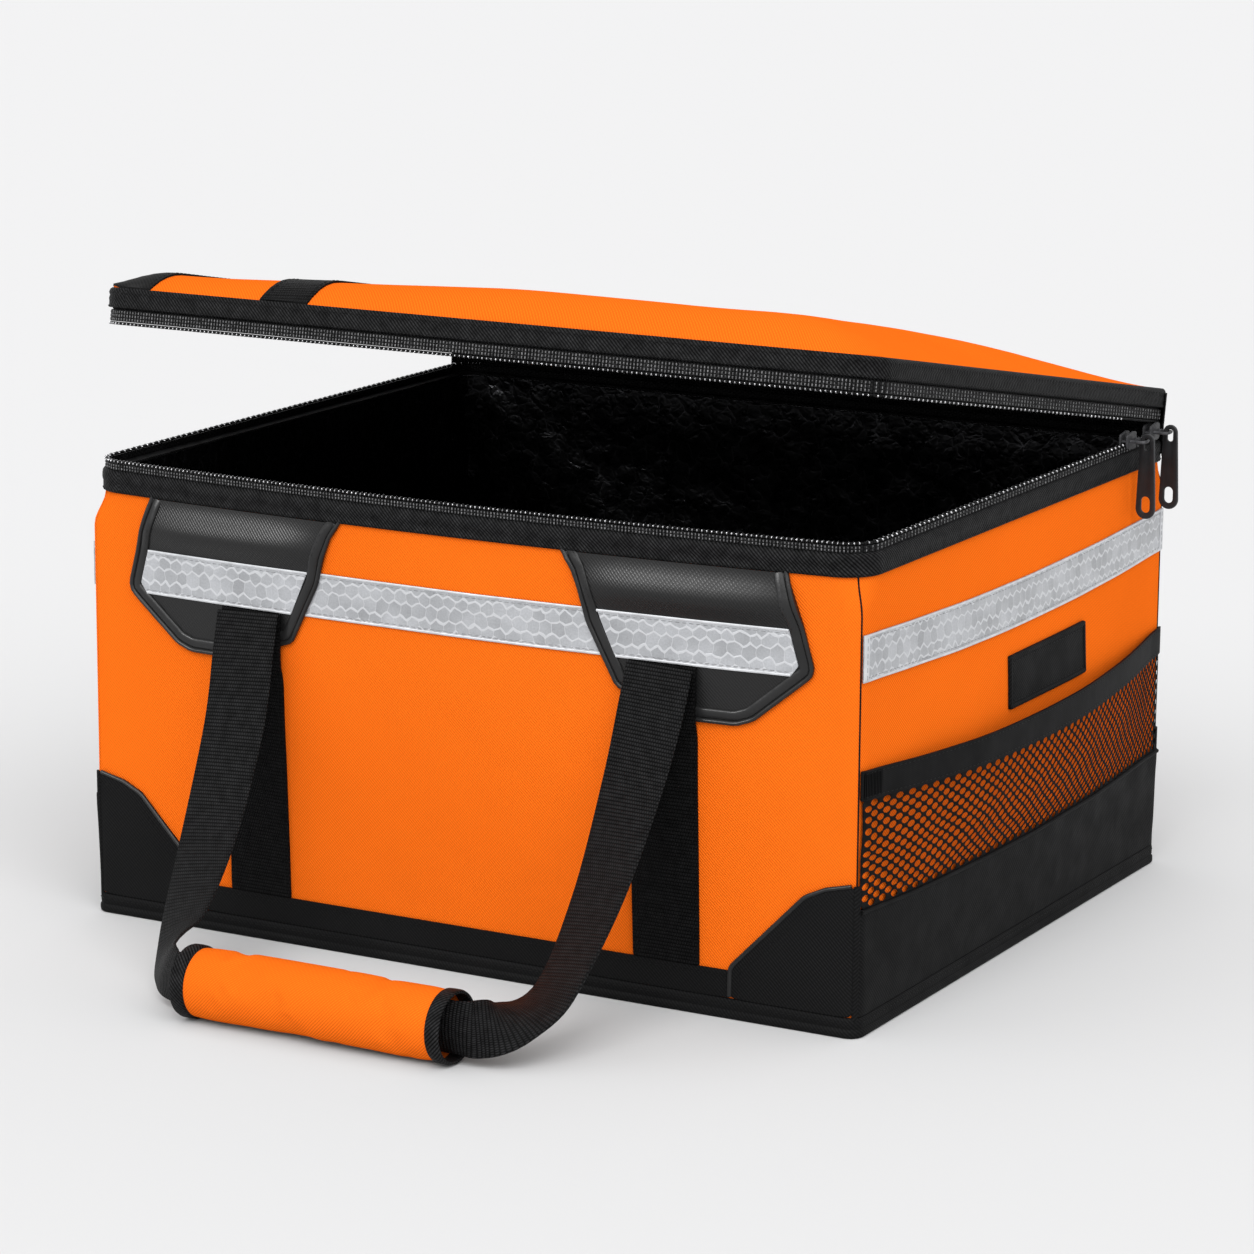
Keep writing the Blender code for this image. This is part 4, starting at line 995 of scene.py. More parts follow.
@kept
def piped_cloth(name):
    """Black Piped Edge"""
    made = Finish(name, 0.34, 0.34)
    grain = made.group(grain_group(), Size=0.0011)["Height"]
    groove_shade = made.group(groove_shade_group())["Mask"]
    # Painted shade: the grooves' colour is darkened to a tenth, as if shadowed, and they are made rougher.
    made.colour(colours().coated, 30.0, 0.6, 1.2, made.mapped(groove_shade, 1.0, 0.1))
    slow = made.bump(made.noise(120.0), 0.0005, 0.5)
    made.bump(grain, 0.00005, 0.6, slow)
    made.link("Roughness", made.mapped(groove_shade, 0.33, 0.9))
    return made


def webbing_finish(name, pitches, depth, low, high, shine, swapped=False):
    """Woven black webbing, its rows across the way it runs."""
    made = Finish(name, 0.45, shine)
    row_pitch, column_pitch = pitches
    if swapped:
        turned = put(made.tree, "ShaderNodeMapping", {"Vector": made.place, "Rotation": (0.0, 0.0, pi / 2)})
        made.place = turned.outputs[0]
    weave = made.group(webbing_group(), Row_Pitch=row_pitch, Column_Pitch=column_pitch)["Height"]
    made.colour(colours().webbing, 160.0, 0.7, 1.4, made.mapped(weave, low, high))
    made.bump(weave, depth)
    return made


@kept
def handle_webbing(name):
    """Black Handle Webbing"""
    return webbing_finish(name, (sizes().webbing_pitch, 0.0016), 0.00060, 0.0, 3.2, 0.04)


@kept
def shaded_sheet_webbing(name):
    """Black Sewn Webbing"""
    # A darker copy of the handle webbing, its weave reaching half as bright: painted shade of the handles over the
    # webbing sewn below them. The lid strap wears it too.
    return webbing_finish(name, (sizes().webbing_pitch, 0.0016), 0.00050, 0.0, 1.5, 0.03, swapped=True)


@kept
def ribbed_binding(name):
    """Black Ribbed Binding"""
    made = Finish(name, 0.45, 0.03)
    weave = made.twill(sizes().rib_pitch * 0.85)
    made.colour(colours().webbing, 150.0, 0.6, 1.5, made.mapped(weave, 0.3, 4.2))
    made.bump(weave, 0.00030)
    return made


@kept
def zipper_tape(name):
    """Black Zipper Tape"""
    return webbing_finish(name, (sizes().rib_pitch, 0.0022), 0.00040, 0.0, 2.4, 0.05)


@kept
def smooth_binding(name):
    """Black Smooth Binding"""
    made = Finish(name, 0.5, 0.03)
    grain = made.group(webbing_group(), Row_Pitch=0.0012, Column_Pitch=0.0012)["Height"]
    made.colour(colours().webbing, 60.0, 0.9, 1.6, made.mapped(grain, 0.25, 1.7))
    slow = made.bump(made.noise(70.0), 0.0005, 0.4)
    made.bump(grain, 0.00006, 0.8, slow)
    return made


def plain_finish(name, gloss, colour, tone, grain, coordinates="Object"):
    """A finish that only noise varies.

    gloss is its roughness, metal and specular level, tone its noise's scale, low
    and high, and grain its relief's scale, detail, height and strength.
    """
    roughness, metal, shine = gloss
    scale, detail, height, strength = grain
    made = Finish(name, roughness, shine, coordinates, metal)
    made.colour(colour, *tone)
    made.bump(made.noise(scale, detail), height, strength)
    return made


@kept
def thread(name):
    """Black Thread"""
    return plain_finish(name, (0.5, 0.0, 0.08), (0.006, 0.006, 0.0062), (400.0, 0.7, 1.4), (2500.0, 2.0, 0.0001, 0.6))


@kept
def grey_thread(name):
    """Grey Thread"""
    return plain_finish(name, (0.45, 0.0, 0.5), (0.24, 0.245, 0.255), (400.0, 0.7, 1.3), (2500.0, 2.0, 0.0001, 0.6))


@kept
def zipper_teeth(name):
    """Zipper Teeth"""
    return plain_finish(name, (0.16, 0.9, 0.8), (0.46, 0.46, 0.47), (420.0, 0.3, 1.5), (900.0, 2.0, 0.0001, 0.3))


@kept
def glinting_rib_cord(name):
    """Rib Cord"""
    # Grey yarns on a black tape, lighter still in random spots: painted glints.
    return plain_finish(name, (0.30, 0.0, 0.22), (0.100, 0.100, 0.102), (620.0, 0.05, 2.6), (900.0, 2.0, 0.0002, 0.5))


@kept
def reflective_tape(name):
    """Reflective Tape"""
    made = Finish(name, 0.34, 0.6, metallic=0.15)
    cells = made.group(cell_group(), Pitch=sizes().hex_pitch, Line=0.034)
    grey = made.mapped(cells["Cell"], 0.84, 1.08)
    speckled = calc(made.tree, "MULTIPLY", grey, made.mapped(made.noise(900.0), 0.80, 1.2))
    base = made.colour(colours().silver, 40.0, 0.80, 1.12, speckled)
    made.link("Base Color", blended(made.tree, cells["Line"], base, CELL_LINES))
    slow = made.bump(made.noise(90.0), 0.0006, 0.6)
    made.bump(cells["Line"], 0.00010, 0.8, slow)
    made.vary_roughness(140.0, 0.28, 0.46)
    return made


@kept
def tape_edge(name):
    """Reflective Tape Edge"""
    return plain_finish(
        name, (0.4, 0.15, 0.5), (0.56, 0.57, 0.59), (120.0, 0.85, 1.15), (800.0, 2.0, 0.0001, 0.5), "UV")


@kept
def foil_liner(name):
    """Foil Liner"""
    made = Finish(name, 0.3, metallic=0.85)
    crinkle = made.group(crinkle_group(), Size=0.010)
    # Painted highlights: along the crease glint lines the liner's colour rises up to fourteen times.
    made.colour(colours().foil, 30.0, 0.7, 1.5, made.mapped(crinkle["Crease Glint"], 0.8, 14.0))
    made.bump(crinkle["Height"], 0.0010, 0.8)
    made.vary_roughness(90.0, 0.2, 0.42)
    return made


@kept
def grey_foam(name):
    """Grey Foam"""
    return plain_finish(name, (0.9, 0.0, 0.5), colours().foam, (60.0, 0.85, 1.1), (900.0, 3.0, 0.0006, 0.8))


@kept
def base_board(name):
    """Base Board"""
    return plain_finish(name, (0.6, 0.0, 0.5), (0.02, 0.02, 0.02), (50.0, 0.8, 1.3), (500.0, 3.0, 0.0002, 0.6))


@kept
def net_cord(name):
    """Net Cord"""
    return plain_finish(
        name, (0.6, 0.0, 0.03), (0.0055, 0.0055, 0.0057), (300.0, 0.6, 1.6), (1600.0, 2.0, 0.0002, 0.8))


@kept
def gunmetal(name):
    """Gunmetal"""
    made = Finish(name, 0.4, 0.22, "Object")
    tone = made.colour(colours().metal, 160.0, 0.85, 1.15)
    wear_and_highlight = put(made.tree, "ShaderNodeGroup", {"Scale": 500.0}, node_tree=wear_and_highlight_group()).outputs["Mask"]
    # Along convex edges the colour turns a lighter grey: wear and a painted edge highlight together.
    made.link("Base Color", blended(made.tree, wear_and_highlight, tone, WORN_AND_LIT_METAL))
    made.bump(made.noise(700.0, 3.0), 0.0001, 0.3)
    made.vary_roughness(220.0, 0.34, 0.50)
    return made


# Each finish's material and the record's slot that it stands for
FINISHES = {
    "cloth": (orange_cloth, "orange_oxford"), "twill": (coated_twill, "black_coated"),
    "coated": (coated_smooth, "black_coated"), "piped": (piped_cloth, "black_coated"),
    "handle webbing": (handle_webbing, "black_webbing"), "shaded sewn webbing": (shaded_sheet_webbing, "black_webbing"),
    "ribbed": (ribbed_binding, "black_webbing"), "smooth binding": (smooth_binding, "black_webbing"),
    "thread": (thread, "black_webbing"), "tape": (zipper_tape, "zipper_black"), "teeth": (zipper_teeth, "zipper_black"),
    "glinting rib cord": (glinting_rib_cord, "zipper_black"), "net": (net_cord, "zipper_black"),
    "reflective": (reflective_tape, "reflective"), "tape edge": (tape_edge, "reflective"),
    "grey thread": (grey_thread, "reflective"), "foil": (foil_liner, "foil"), "foam": (grey_foam, "foam"),
    "metal": (gunmetal, "gunmetal"),
}


# Body pieces


def wall_sheet(name, wall, outline, low, thickness, finish, replaced=(), **options):
    """A sheet cut to an outline on one wall."""
    return add_piece(name, cut_sheet(WALLS[wall].point, outline, low, thickness, **options), finish, replaced)


def box_outline(left, right, low, high, radius=0.0):
    outline = ((left, low), (right, low), (right, high), (left, high))
    return rounded(outline, radius) if radius else [Vector(point) for point in outline]


def add_beads(name, beads, finish="thread", body="bag"):
    add_piece(name, beads.mesh(), finish, body=body, sharp=80.0)


def sewn_corners(face):
    """The left and right half of a front or rear wall, as a sign along the wall and the bag's own side."""
    return ((-1, "left"), (1, "right")) if face == "front" else ((-1, "right"), (1, "left"))


def build_walls():
    """Four cloth panels, sewn together down the corners with piping."""
    for face, wall in WALLS.items():
        reach = wall.half_length - GAP / 3
        outline = box_outline(-reach, reach, WALL_BOTTOM, WALL_TOP)
        wall_sheet(
            f"{face}_wall_cloth", face, outline, -CLOTH, CLOTH, "cloth", (f"{face}_panel",), cell=0.006, bevel=0.0)
    radius = sizes().piping_radius
    for face, wall in WALLS.items():
        sections = []
        ahead = (wall.turn @ Vector((1, -1, 0))).normalized()
        beside = (wall.turn @ Vector((1, 1, 0))).normalized()
        for z in spaced(FOOT_TOP, TRIM_TOP, 60):
            centre = wall.point(wall.half_length, z, radius * 0.35)
            sections.append([
                centre + radius * (cos(a) * ahead + sin(a) * beside) for a in round_angles(8)])
        finish = "cloth" if face == "left" else "smooth binding"
        add_piece(f"{face}_corner_piping", loft(sections), finish, sharp=60.0)


def shell(outer, inner, low, floor, rough=0.0, cells=70):
    """A layer inside all four walls, from low to the walls' top, with a floor where it has one."""
    builder = bmesh.new()
    layer = builder.loops.layers.uv.new("UVMap")
    rows = 52
    sheets = []
    for out, bottom in ((outer, low), (inner, low + floor)):
        columns = []
        for wall in WALLS.values():
            for u in spaced(-wall.half_length, wall.half_length, cells)[:-1]:
                column = []
                for z in spaced(bottom, WALL_TOP, rows):
                    place = wall.point(u, z, out)
                    if rough and out == inner:
                        way = wall.turn @ Vector((u / wall.half_length, -1, 0))
                        fade = eased(z, bottom, bottom + 0.02) * (1 - eased(z, WALL_TOP - 0.02, WALL_TOP))
                        dent = 0.4 + wobble(place.x, place.y, place.z, 0.014, 4.1)
                        place -= rough * fade * max(dent, 0.0) * way
                    column.append(builder.verts.new(place))
                columns.append(column)
        sheets.append(columns)
        count = len(columns)
        for k, here in enumerate(columns):
            there = columns[(k + 1) % count]
            for row in range(rows):
                face = builder.faces.new((here[row], there[row], there[row + 1], here[row + 1]))
                for loop, (a, b) in zip(face.loops, ((k, row), (k + 1, row), (k + 1, row + 1), (k, row + 1))):
                    loop[layer].uv = (a * 0.0046, b * 0.0049)
    outside, inside = sheets
    for k, column in enumerate(outside):
        nxt = (k + 1) % len(outside)
        builder.faces.new((column[-1], outside[nxt][-1], inside[nxt][-1], inside[k][-1]))
        if not floor:
            builder.faces.new((column[0], outside[nxt][0], inside[nxt][0], inside[k][0]))
    if floor:
        for columns, rise in ((outside, 0.0), (inside, rough)):
            floor_fill(builder, layer, [column[0] for column in columns], rise)
    return to_mesh(builder)


def floor_fill(builder, layer, edge, rise):
    """Rings of faces from an edge towards its middle, a little crinkled."""
    centre = sum((vertex.co for vertex in edge), Vector((0, 0, 0))) / len(edge)
    rings = [edge]
    for share in (0.04, 0.1, 0.2, 0.32, 0.45, 0.58, 0.7, 0.82, 0.92):
        ring = []
        for vertex in edge:
            place = vertex.co.lerp(centre, share)
            place.z += rise * max(wobble(place.x, place.y, 0.0, 0.03, 7.7), -0.2)
            ring.append(builder.verts.new(place))
        rings.append(ring)
    join_rings(builder, rings)
    builder.faces.new(rings[-1])
    for face in builder.faces:
        for loop in face.loops:
            if loop[layer].uv.length == 0.0:
                loop[layer].uv = loop.vert.co.xy


def build_lining():
    """Foil liner, wall foam, base foam and board."""
    foil = shell(LINER_OUT, LINER_IN, LINER_FLOOR, STRIP, rough=0.0014, cells=100)
    add_piece("foil_liner", foil, "foil", ("liner",))
    add_piece("wall_insulation", shell(FOAM_OUT, FOAM_IN, 0.0051, 0.0, cells=30), "foam", ("wall_foam",))
    low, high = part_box("base_foam")
    pad = box_outline(low.x, high.x, low.y, high.y, 0.004)
    mesh = cut_sheet(flat_point, pad, low.z, high.z - low.z, cell=0.04, bevel=0.001)
    add_piece("base_insulation", mesh, "foam", ("base_foam",))
    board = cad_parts["base_board"].data.materials
    board.clear()
    board.append(base_board())


def build_foot():
    """Bottom cloth and the bound lip round it."""
    stations = stations_round(24, 6, (FOOT_RADIUS, FOOT_RADIUS))
    mesh = cut_sheet(flat_point, [place.xy for place, _ in stations], 0.0, 0.0015, cell=0.05, bevel=0.0003)
    add_piece("bottom_cloth", mesh, "coated", ("bottom_panel",))
    profile = (
        (0.0003, 0.0002), (0.0019, 0.0001), (0.0025, 0.0007), (0.0027, 0.0020), (0.0027, 0.0034), (0.0024, 0.0044),
        (0.0018, 0.0049), (0.0017, 0.0053), (0.0021, 0.0060), (0.0022, 0.0080), (0.0021, 0.0100), (0.0016, 0.0110),
        (0.0009, 0.0114), (0.0003, 0.0115))
    add_piece("foot_binding", hoop(stations, profile), "coated", ("base_binding",), sharp=60.0)
    beads = Beads()
    beads.stitch_hoop(stations, 0.0022, 0.0085)
    add_beads("foot_stitches", beads)


def build_rim():
    """Rim binding, zipper tape, coil and teeth of the body."""
    stations = rim_stations()
    shelf = BINDING_TOP - 0.0016
    profile = (
        (0.0003, 0.2551), (0.0013, 0.2550), (0.0019, 0.2554), (0.0021, 0.2562), (0.0018, 0.2570), (0.0018, 0.2602),
        (0.0021, 0.2612), (0.0023, 0.2626), (0.0022, 0.2650), (0.0018, 0.2668), (0.0010, 0.2678),
        (-0.0002, BINDING_TOP), (-0.0070, BINDING_TOP), (LINER_IN, BINDING_TOP - 0.0004), (LINER_IN, shelf),
        (0.0003, shelf))
    add_piece("rim_ribbed_binding", hoop(stations, profile), "ribbed", ("rim_binding",), sharp=55.0)
    tape = tape_profile(TAPE_LOW - 0.0004, TAPE_HIGH + 0.0002)
    add_piece("body_tape", hoop(stations, tape), "tape", ("body_zipper_tape",))
    coil = coil_profile((COIL_LOW + COIL_HIGH) / 2)
    add_piece("body_coil", hoop(stations, coil), "tape", ("body_zipper_coil",), sharp=80.0)
    add_beads("body_teeth", zipper_run(stations, COIL_HIGH - 0.0007), "teeth")
    add_beads("body_tape_ribs", tape_ribs(stations, TAPE_LOW, TAPE_HIGH), "glinting rib cord")
    beads = Beads()
    beads.stitch_hoop(stations, 0.0021, 0.2562)
    add_beads("rim_stitches", beads)


def tape_ribs(stations, low, high, turn=STILL):
    """Rows of small raised yarns on the outer face of a zipper tape, every second one on the sides."""
    beads = Beads(sides=5)
    ways = turn.to_3x3()
    rows = max(round((high - low) / 0.0019), 1)
    step = (high - low) / rows
    for count, (place, way, _) in enumerate(walk(stations, sizes().tooth_pitch * 0.72)):
        if abs(way.x) > SIDE_FACING and count % 2:
            continue
        for row in range(rows):
            centre = place + TAPE_OUT * way + (low + (row + 0.5) * step) * UP
            beads.add(turn @ centre, ways @ UP, ways @ way, step * 0.72, 0.00046, 0.00042)
    return beads


def zipper_run(stations, height, turn=STILL):
    """Teeth round the loop, every second one on the sides.

    They are left out along the rear hinge and, on the lid, over the parked sliders.
    """
    beads = Beads()
    ways = turn.to_3x3()
    for count, (place, way, _) in enumerate(walk(stations, sizes().tooth_pitch)):
        hinged = place.y > HALF_DEPTH - 0.001 and abs(place.x) < HINGE_REACH
        parked = turn is LID_TURN and place.x > 0 and SLIDER_REACH[0] < place.y < SLIDER_REACH[1]
        if hinged or parked or abs(way.x) > SIDE_FACING and count % 2:
            continue
        centre = place - TOOTH_IN * way + height * UP
        beads.add(turn @ centre, ways @ way, ways @ UP, 0.0034, 0.00055, 0.00100)
    return beads


def piped_edge(width, height):
    """A raised edge, as distances inward and heights."""
    return (
        (-0.0002, -0.0006), (-0.0006, 0.0003), (-0.0005, 0.0010), (0.0002, 0.0016), (0.0011, 0.0016), (0.0018, 0.0010),
        (0.0022, 0.0003), (0.0028, height * 0.7), (0.0040, height), (width - 0.0014, height),
        (width - 0.0004, height * 0.6), (width, -0.0003),
    )


def corner_outline(wall, sign):
    edge = WALLS[wall].half_length - GAP
    width, height = CORNER_PATCH
    points = [(sign * (edge - x * width), FOOT_TOP + z * height) for x, z in CORNER_SHARES]
    return anticlockwise(points)


def build_corner_patches():
    """Coated patches on the lower corners, and the bands between them."""
    stitches = Beads()
    edge_profile = (
        (-0.0003, -0.0006), (-0.0005, 0.0002), (0.0, 0.0009), (0.0008, 0.0011), (0.0016, 0.0007), (0.0021, -0.0003))
    cord_profile = (
        (-0.0019, -0.0006), (-0.0015, 0.0003), (-0.0008, 0.0007), (0.0, 0.0008), (0.0008, 0.0007), (0.0015, 0.0003),
        (0.0019, -0.0006))
    for face in ("front", "rear"):
        wall = WALLS[face]
        for sign, hand in sewn_corners(face):
            corner = f"{face}_{hand}_corner"
            outline = rounded(corner_outline(face, sign), 0.006)
            wall_sheet(
                f"{corner}_cloth", face, outline, GAP, TRIM, "coated", (f"{corner}_patch",), cell=0.005, bevel=0.0005)
            slant = [Vector((sign * (wall.half_length - inward), FOOT_TOP + up)) for inward, up in (
                (0.0775, 0.001), (0.0772, 0.018), (0.0315, 0.0652), (0.0187, 0.0712), (0.0032, 0.0750))]
            path = resampled(rounded(slant[::-sign], 0.008, closed=False), 0.004)[0]
            edge = welt(wall.point, inset(path, 0.0002), edge_profile, GAP + TRIM)
            add_piece(f"{corner}_edge", edge, "piped")
            line = upright(sign * wall.half_length, FOOT_TOP - 0.0018, FOOT_TOP + 0.0742, 24)
            add_piece(f"{corner}_cord", welt(wall.point, line, cord_profile, GAP + TRIM), "coated")
            stitches.stitch_path(wall.point, inset(path, 0.0068), GAP + TRIM)
        reach = wall.half_length - CORNER_PATCH[0] + 0.0008
        outline = box_outline(-reach, reach, FOOT_TOP, BAND_TOP)
        wall_sheet(f"{face}_band_cloth", face, outline, GAP / 2, TRIM, "coated", (f"{face}_bottom_band",), bevel=0.0005)
        stitches.stitch_path(wall.point, level(BAND_TOP - 0.0030, reach, -reach, 60), GAP + TRIM)
    add_beads("lower_trim_stitches", stitches)


def patch_outline(sign):
    rise = TRIM_TOP - PATCH_LOW
    return [(sign * (PATCH_INNER + x * PATCH_WIDTH), PATCH_LOW + z * rise) for x, z in PATCH_SHARES]


def patch_edge(z, inner):
    """How far from the middle the handle patch's edge lies at a height."""
    share = (z - PATCH_LOW) / (TRIM_TOP - PATCH_LOW)
    points = PATCH_SHARES[:6] if inner else PATCH_SHARES[:6:-1]
    for (x_high, z_high), (x_low, z_low) in zip(points, points[1:]):
        if share >= z_low:
            across = mixed(x_high, x_low, (z_high - share) / (z_high - z_low))
            return PATCH_INNER + across * PATCH_WIDTH
    return PATCH_INNER + points[-1][0] * PATCH_WIDTH


def patch_swell(u, z):
    """How far the handle patch stands proud of its edge, fullest under the rim."""
    across = 1 - min(abs((abs(u) - 0.1515) / 0.070), 1.0) ** 4
    return across * 0.0050 * eased(z, 0.2215, 0.2370) * (1 - eased(z, 0.2355, 0.2546))


def build_handle_patches():
    """Coated patches that carry the handles, with bound edges and reflective strips."""
    stitches, light = Beads(), Beads()
    for face in ("front", "rear"):
        swollen = swollen_surface(WALLS[face])
        for sign, hand in sewn_corners(face):
            outline = rounded(anticlockwise(patch_outline(sign)), 0.004)
            wall_sheet(
                f"{face}_{hand}_patch_cloth", face, outline, GAP, TRIM, "twill", (f"{face}_{hand}_handle_patch",),
                cell=0.004, rise=patch_swell)
            open_edge = patch_outline(sign)
            for end in (0, -1):
                open_edge[end] = (open_edge[end][0], TRIM_TOP + 0.0016)
            edge = resampled(rounded(open_edge[::sign], 0.006, closed=False), 0.0035)[0]
            mesh = welt(swollen, edge, piped_edge(WELT_WIDTH, 0.0013), GAP + TRIM)
            add_piece(f"{face}_{hand}_patch_edge", mesh, "piped", sharp=50.0)
            stitches.stitch_path(swollen, inset(edge, 0.0062), GAP + TRIM + 0.0011)
            strip_on_patch(face, sign, hand, light)
            sewn_webbing(face, sign, hand, stitches)
    add_beads("patch_stitches", stitches)
    add_beads("patch_strip_stitches", light, "grey thread")


def swollen_surface(wall):
    """The handle patch's outer face, as a surface to lay its edge on."""
    return raised(wall.point, lambda u, z: patch_swell(u, z) - 0.0011 * eased(z, 0.2510, 0.2546))


def strip_edges(name, wall, edges, out, stitches):
    """The plain silver edges along a reflective strip, and its stitches."""
    profile = ((0.0, -0.0004), (0.0, 0.00015), (0.0003, 0.0003), (0.0010, 0.0003), (0.0013, 0.00015), (0.0013, -0.0004))
    add_piece(name, joined([welt(wall.point, path, profile, out) for path in edges]), "tape edge")
    for path in edges:
        stitches.stitch_path(wall.point, inset(path, 0.0024), out)


def strip_on_patch(face, sign, hand, light):
    """The reflective strip between a patch's bound edges."""
    margin = WELT_WIDTH + 0.0002
    low, high, cut = STRIP_LOW, STRIP_HIGH, STRIP_LOW + 0.006
    near, far = sign * (patch_edge(low, True) + margin), sign * (patch_edge(low, False) - margin - 0.003)
    near_top, far_top = sign * (patch_edge(high, True) + margin), sign * (patch_edge(high, False) - margin)
    points = (
        (near, low), (far, low), (sign * (patch_edge(cut, False) - margin), cut), (far_top, high), (near_top, high))
    outline = rounded(anticlockwise(points), 0.0015)
    out = GAP + TRIM + GAP
    wall_sheet(
        f"{face}_{hand}_patch_reflector", face, outline, out, STRIP, "reflective", (f"{face}_{hand}_patch_strip",),
        cell=0.005, bevel=0.0003)
    bottom, top = level(low + 0.00005, near, far, 24), level(high - 0.00005, far_top, near_top, 24)
    strip_edges(f"{face}_{hand}_reflector_edges", WALLS[face], (bottom[::sign], top[::sign]), out + STRIP, light)


def sewn_webbing(face, sign, hand, stitches):
    """The webbing sewn on the wall below a patch, climbing over its lower edge."""
    middle, half = sign * STRAP_PLACE, STRAP_WIDTH / 2
    outline = box_outline(middle - half, middle + half, BAND_TOP + GAP, STRIP_LOW - GAP, 0.0006)

    def low(u, z):
        over_edge = eased(z, 0.160, 0.169) * (1 - eased(z, 0.177, 0.184))
        return mixed(GAP, GAP + TRIM + GAP, eased(z, 0.154, 0.168)) + 0.0011 * over_edge

    wall_sheet(
        f"{face}_{hand}_lower_webbing", face, outline, low, STRAP_THICK, "shaded sewn webbing",
        (f"{face}_{hand}_sewn_webbing",), cell=0.004, bevel=0.0005)
    for side in (-1, 1):
        path = upright(middle + side * (half - 0.0030), BAND_TOP + 0.002, 0.166, 40)
        stitches.stitch_path(raised(WALLS[face].point, low), path, STRAP_THICK)


def build_strips():
    """Reflective strips between the handle patches and along both sides."""
    stitches = Beads()
    right_end = [Vector((patch_edge(z, True) + 0.0002, z)) for z in spaced(STRIP_LOW, STRIP_HIGH, 8)]
    outline = right_end + [Vector((-point.x, point.y)) for point in reversed(right_end)]
    near, far = patch_edge(STRIP_LOW, True), patch_edge(STRIP_HIGH, True)
    for face in ("front", "rear"):
        wall_strip(face, outline, level(STRIP_LOW, -near, near, 70), level(STRIP_HIGH, far, -far, 70), stitches)
    for face in ("right", "left"):
        wall = WALLS[face]
        edge = wall.half_length - 0.0012
        lower = level(strip_low, -edge, edge, 60)
        upper = [Vector((point.x, point.y + STRIP_HIGH - STRIP_LOW)) for point in reversed(lower)]
        wall_strip(face, lower + upper, lower, upper, stitches)
        for sign in (-1, 1):
            near, far = sorted((sign * edge, sign * (edge - 0.0052)))
            band = box_outline(near, far, STRIP_LOW + 0.0004, STRIP_HIGH - 0.0004, 0.0004)
            end = "front" if (sign < 0) == (face == "right") else "rear"
            wall_sheet(
                f"{face}_{end}_reflector_end", face, band, GAP + STRIP - 0.0002, 0.0006, "tape edge", cell=0.003,
                bevel=0.0002)
            path = upright(sign * (edge - 0.0030), STRIP_LOW + 0.001, STRIP_HIGH - 0.001, 8)
            stitches.stitch_path(wall.point, path, GAP + STRIP + 0.0004)
    add_beads("reflector_stitches", stitches, "grey thread")


def strip_low(u):
    """Height of the side strips' lower edge, which sags between the corners."""
    return STRIP_LOW - SIDE_STRIP_SAG * loose(u)


def wall_strip(face, outline, lower, upper, stitches):
    """A reflective strip along a wall."""
    wall_sheet(
        f"{face}_reflector", face, outline, GAP, STRIP, "reflective", (f"{face}_reflective_strip",), cell=0.006,
        bevel=0.0003)
    strip_edges(f"{face}_reflector_edges", WALLS[face], (lower, upper), GAP + STRIP, stitches)


# Right and left sides


def loose(u):
    """How freely a side's trim hangs: 0 at the corners and 1 in the middle."""
    return 1 - (u / HALF_DEPTH) ** 2


def lower_panel_top(u):
    return mixed(0.0725, 0.068, loose(u))


def pocket_mouth(u):
    return mixed(0.1335, 0.1275, loose(u))


def pocket_out(u, z):
    """How far the slack pocket stands off the wall."""
    low, high = lower_panel_top(u) + GAP, pocket_mouth(u)
    rise = min(max((z - low) / (high - low), 0.0), 1.0)
    creases = 0.0011 * loose(u) * sin(pi * rise) * wobble(u, z, 0.0, 0.028, 2.2)
    return POCKET_RISE + POCKET_SLACK * loose(u) * sin(pi / 2 * rise) + creases


def build_lower_panels():
    """Coated panels along the bottom of both sides, puckered along their top seam."""
    stitches = Beads()
    for face in ("right", "left"):
        wall = WALLS[face]
        edge = wall.half_length - GAP
        upper = level(lower_panel_top, edge, -edge, 40)
        outline = level(FOOT_TOP, -edge, edge, 1) + upper

        def pucker(u, z):
            near = 1 - eased(lower_panel_top(u) - z, 0.0, 0.022)
            full = 0.0007 * eased(z, FOOT_TOP, 0.03) * (1 + wobble(u, z, 0.0, 0.07, 6.1))
            return full + 0.00022 * near * (1 + wobble(u, z * 0.5, 0.0, 0.0085, 8.8))

        wall_sheet(
            f"{face}_lower_cloth", face, outline, GAP, TRIM, "coated", (f"{face}_lower_panel",), cell=0.0035,
            bevel=0.0005, rise=pucker)
        if face == "left":
            path = inset(resampled(upper, 0.005)[0], 0.003)
            stitches.stitch_path(raised(wall.point, pucker), path, GAP + TRIM)
    add_beads("lower_panel_stitches", stitches)


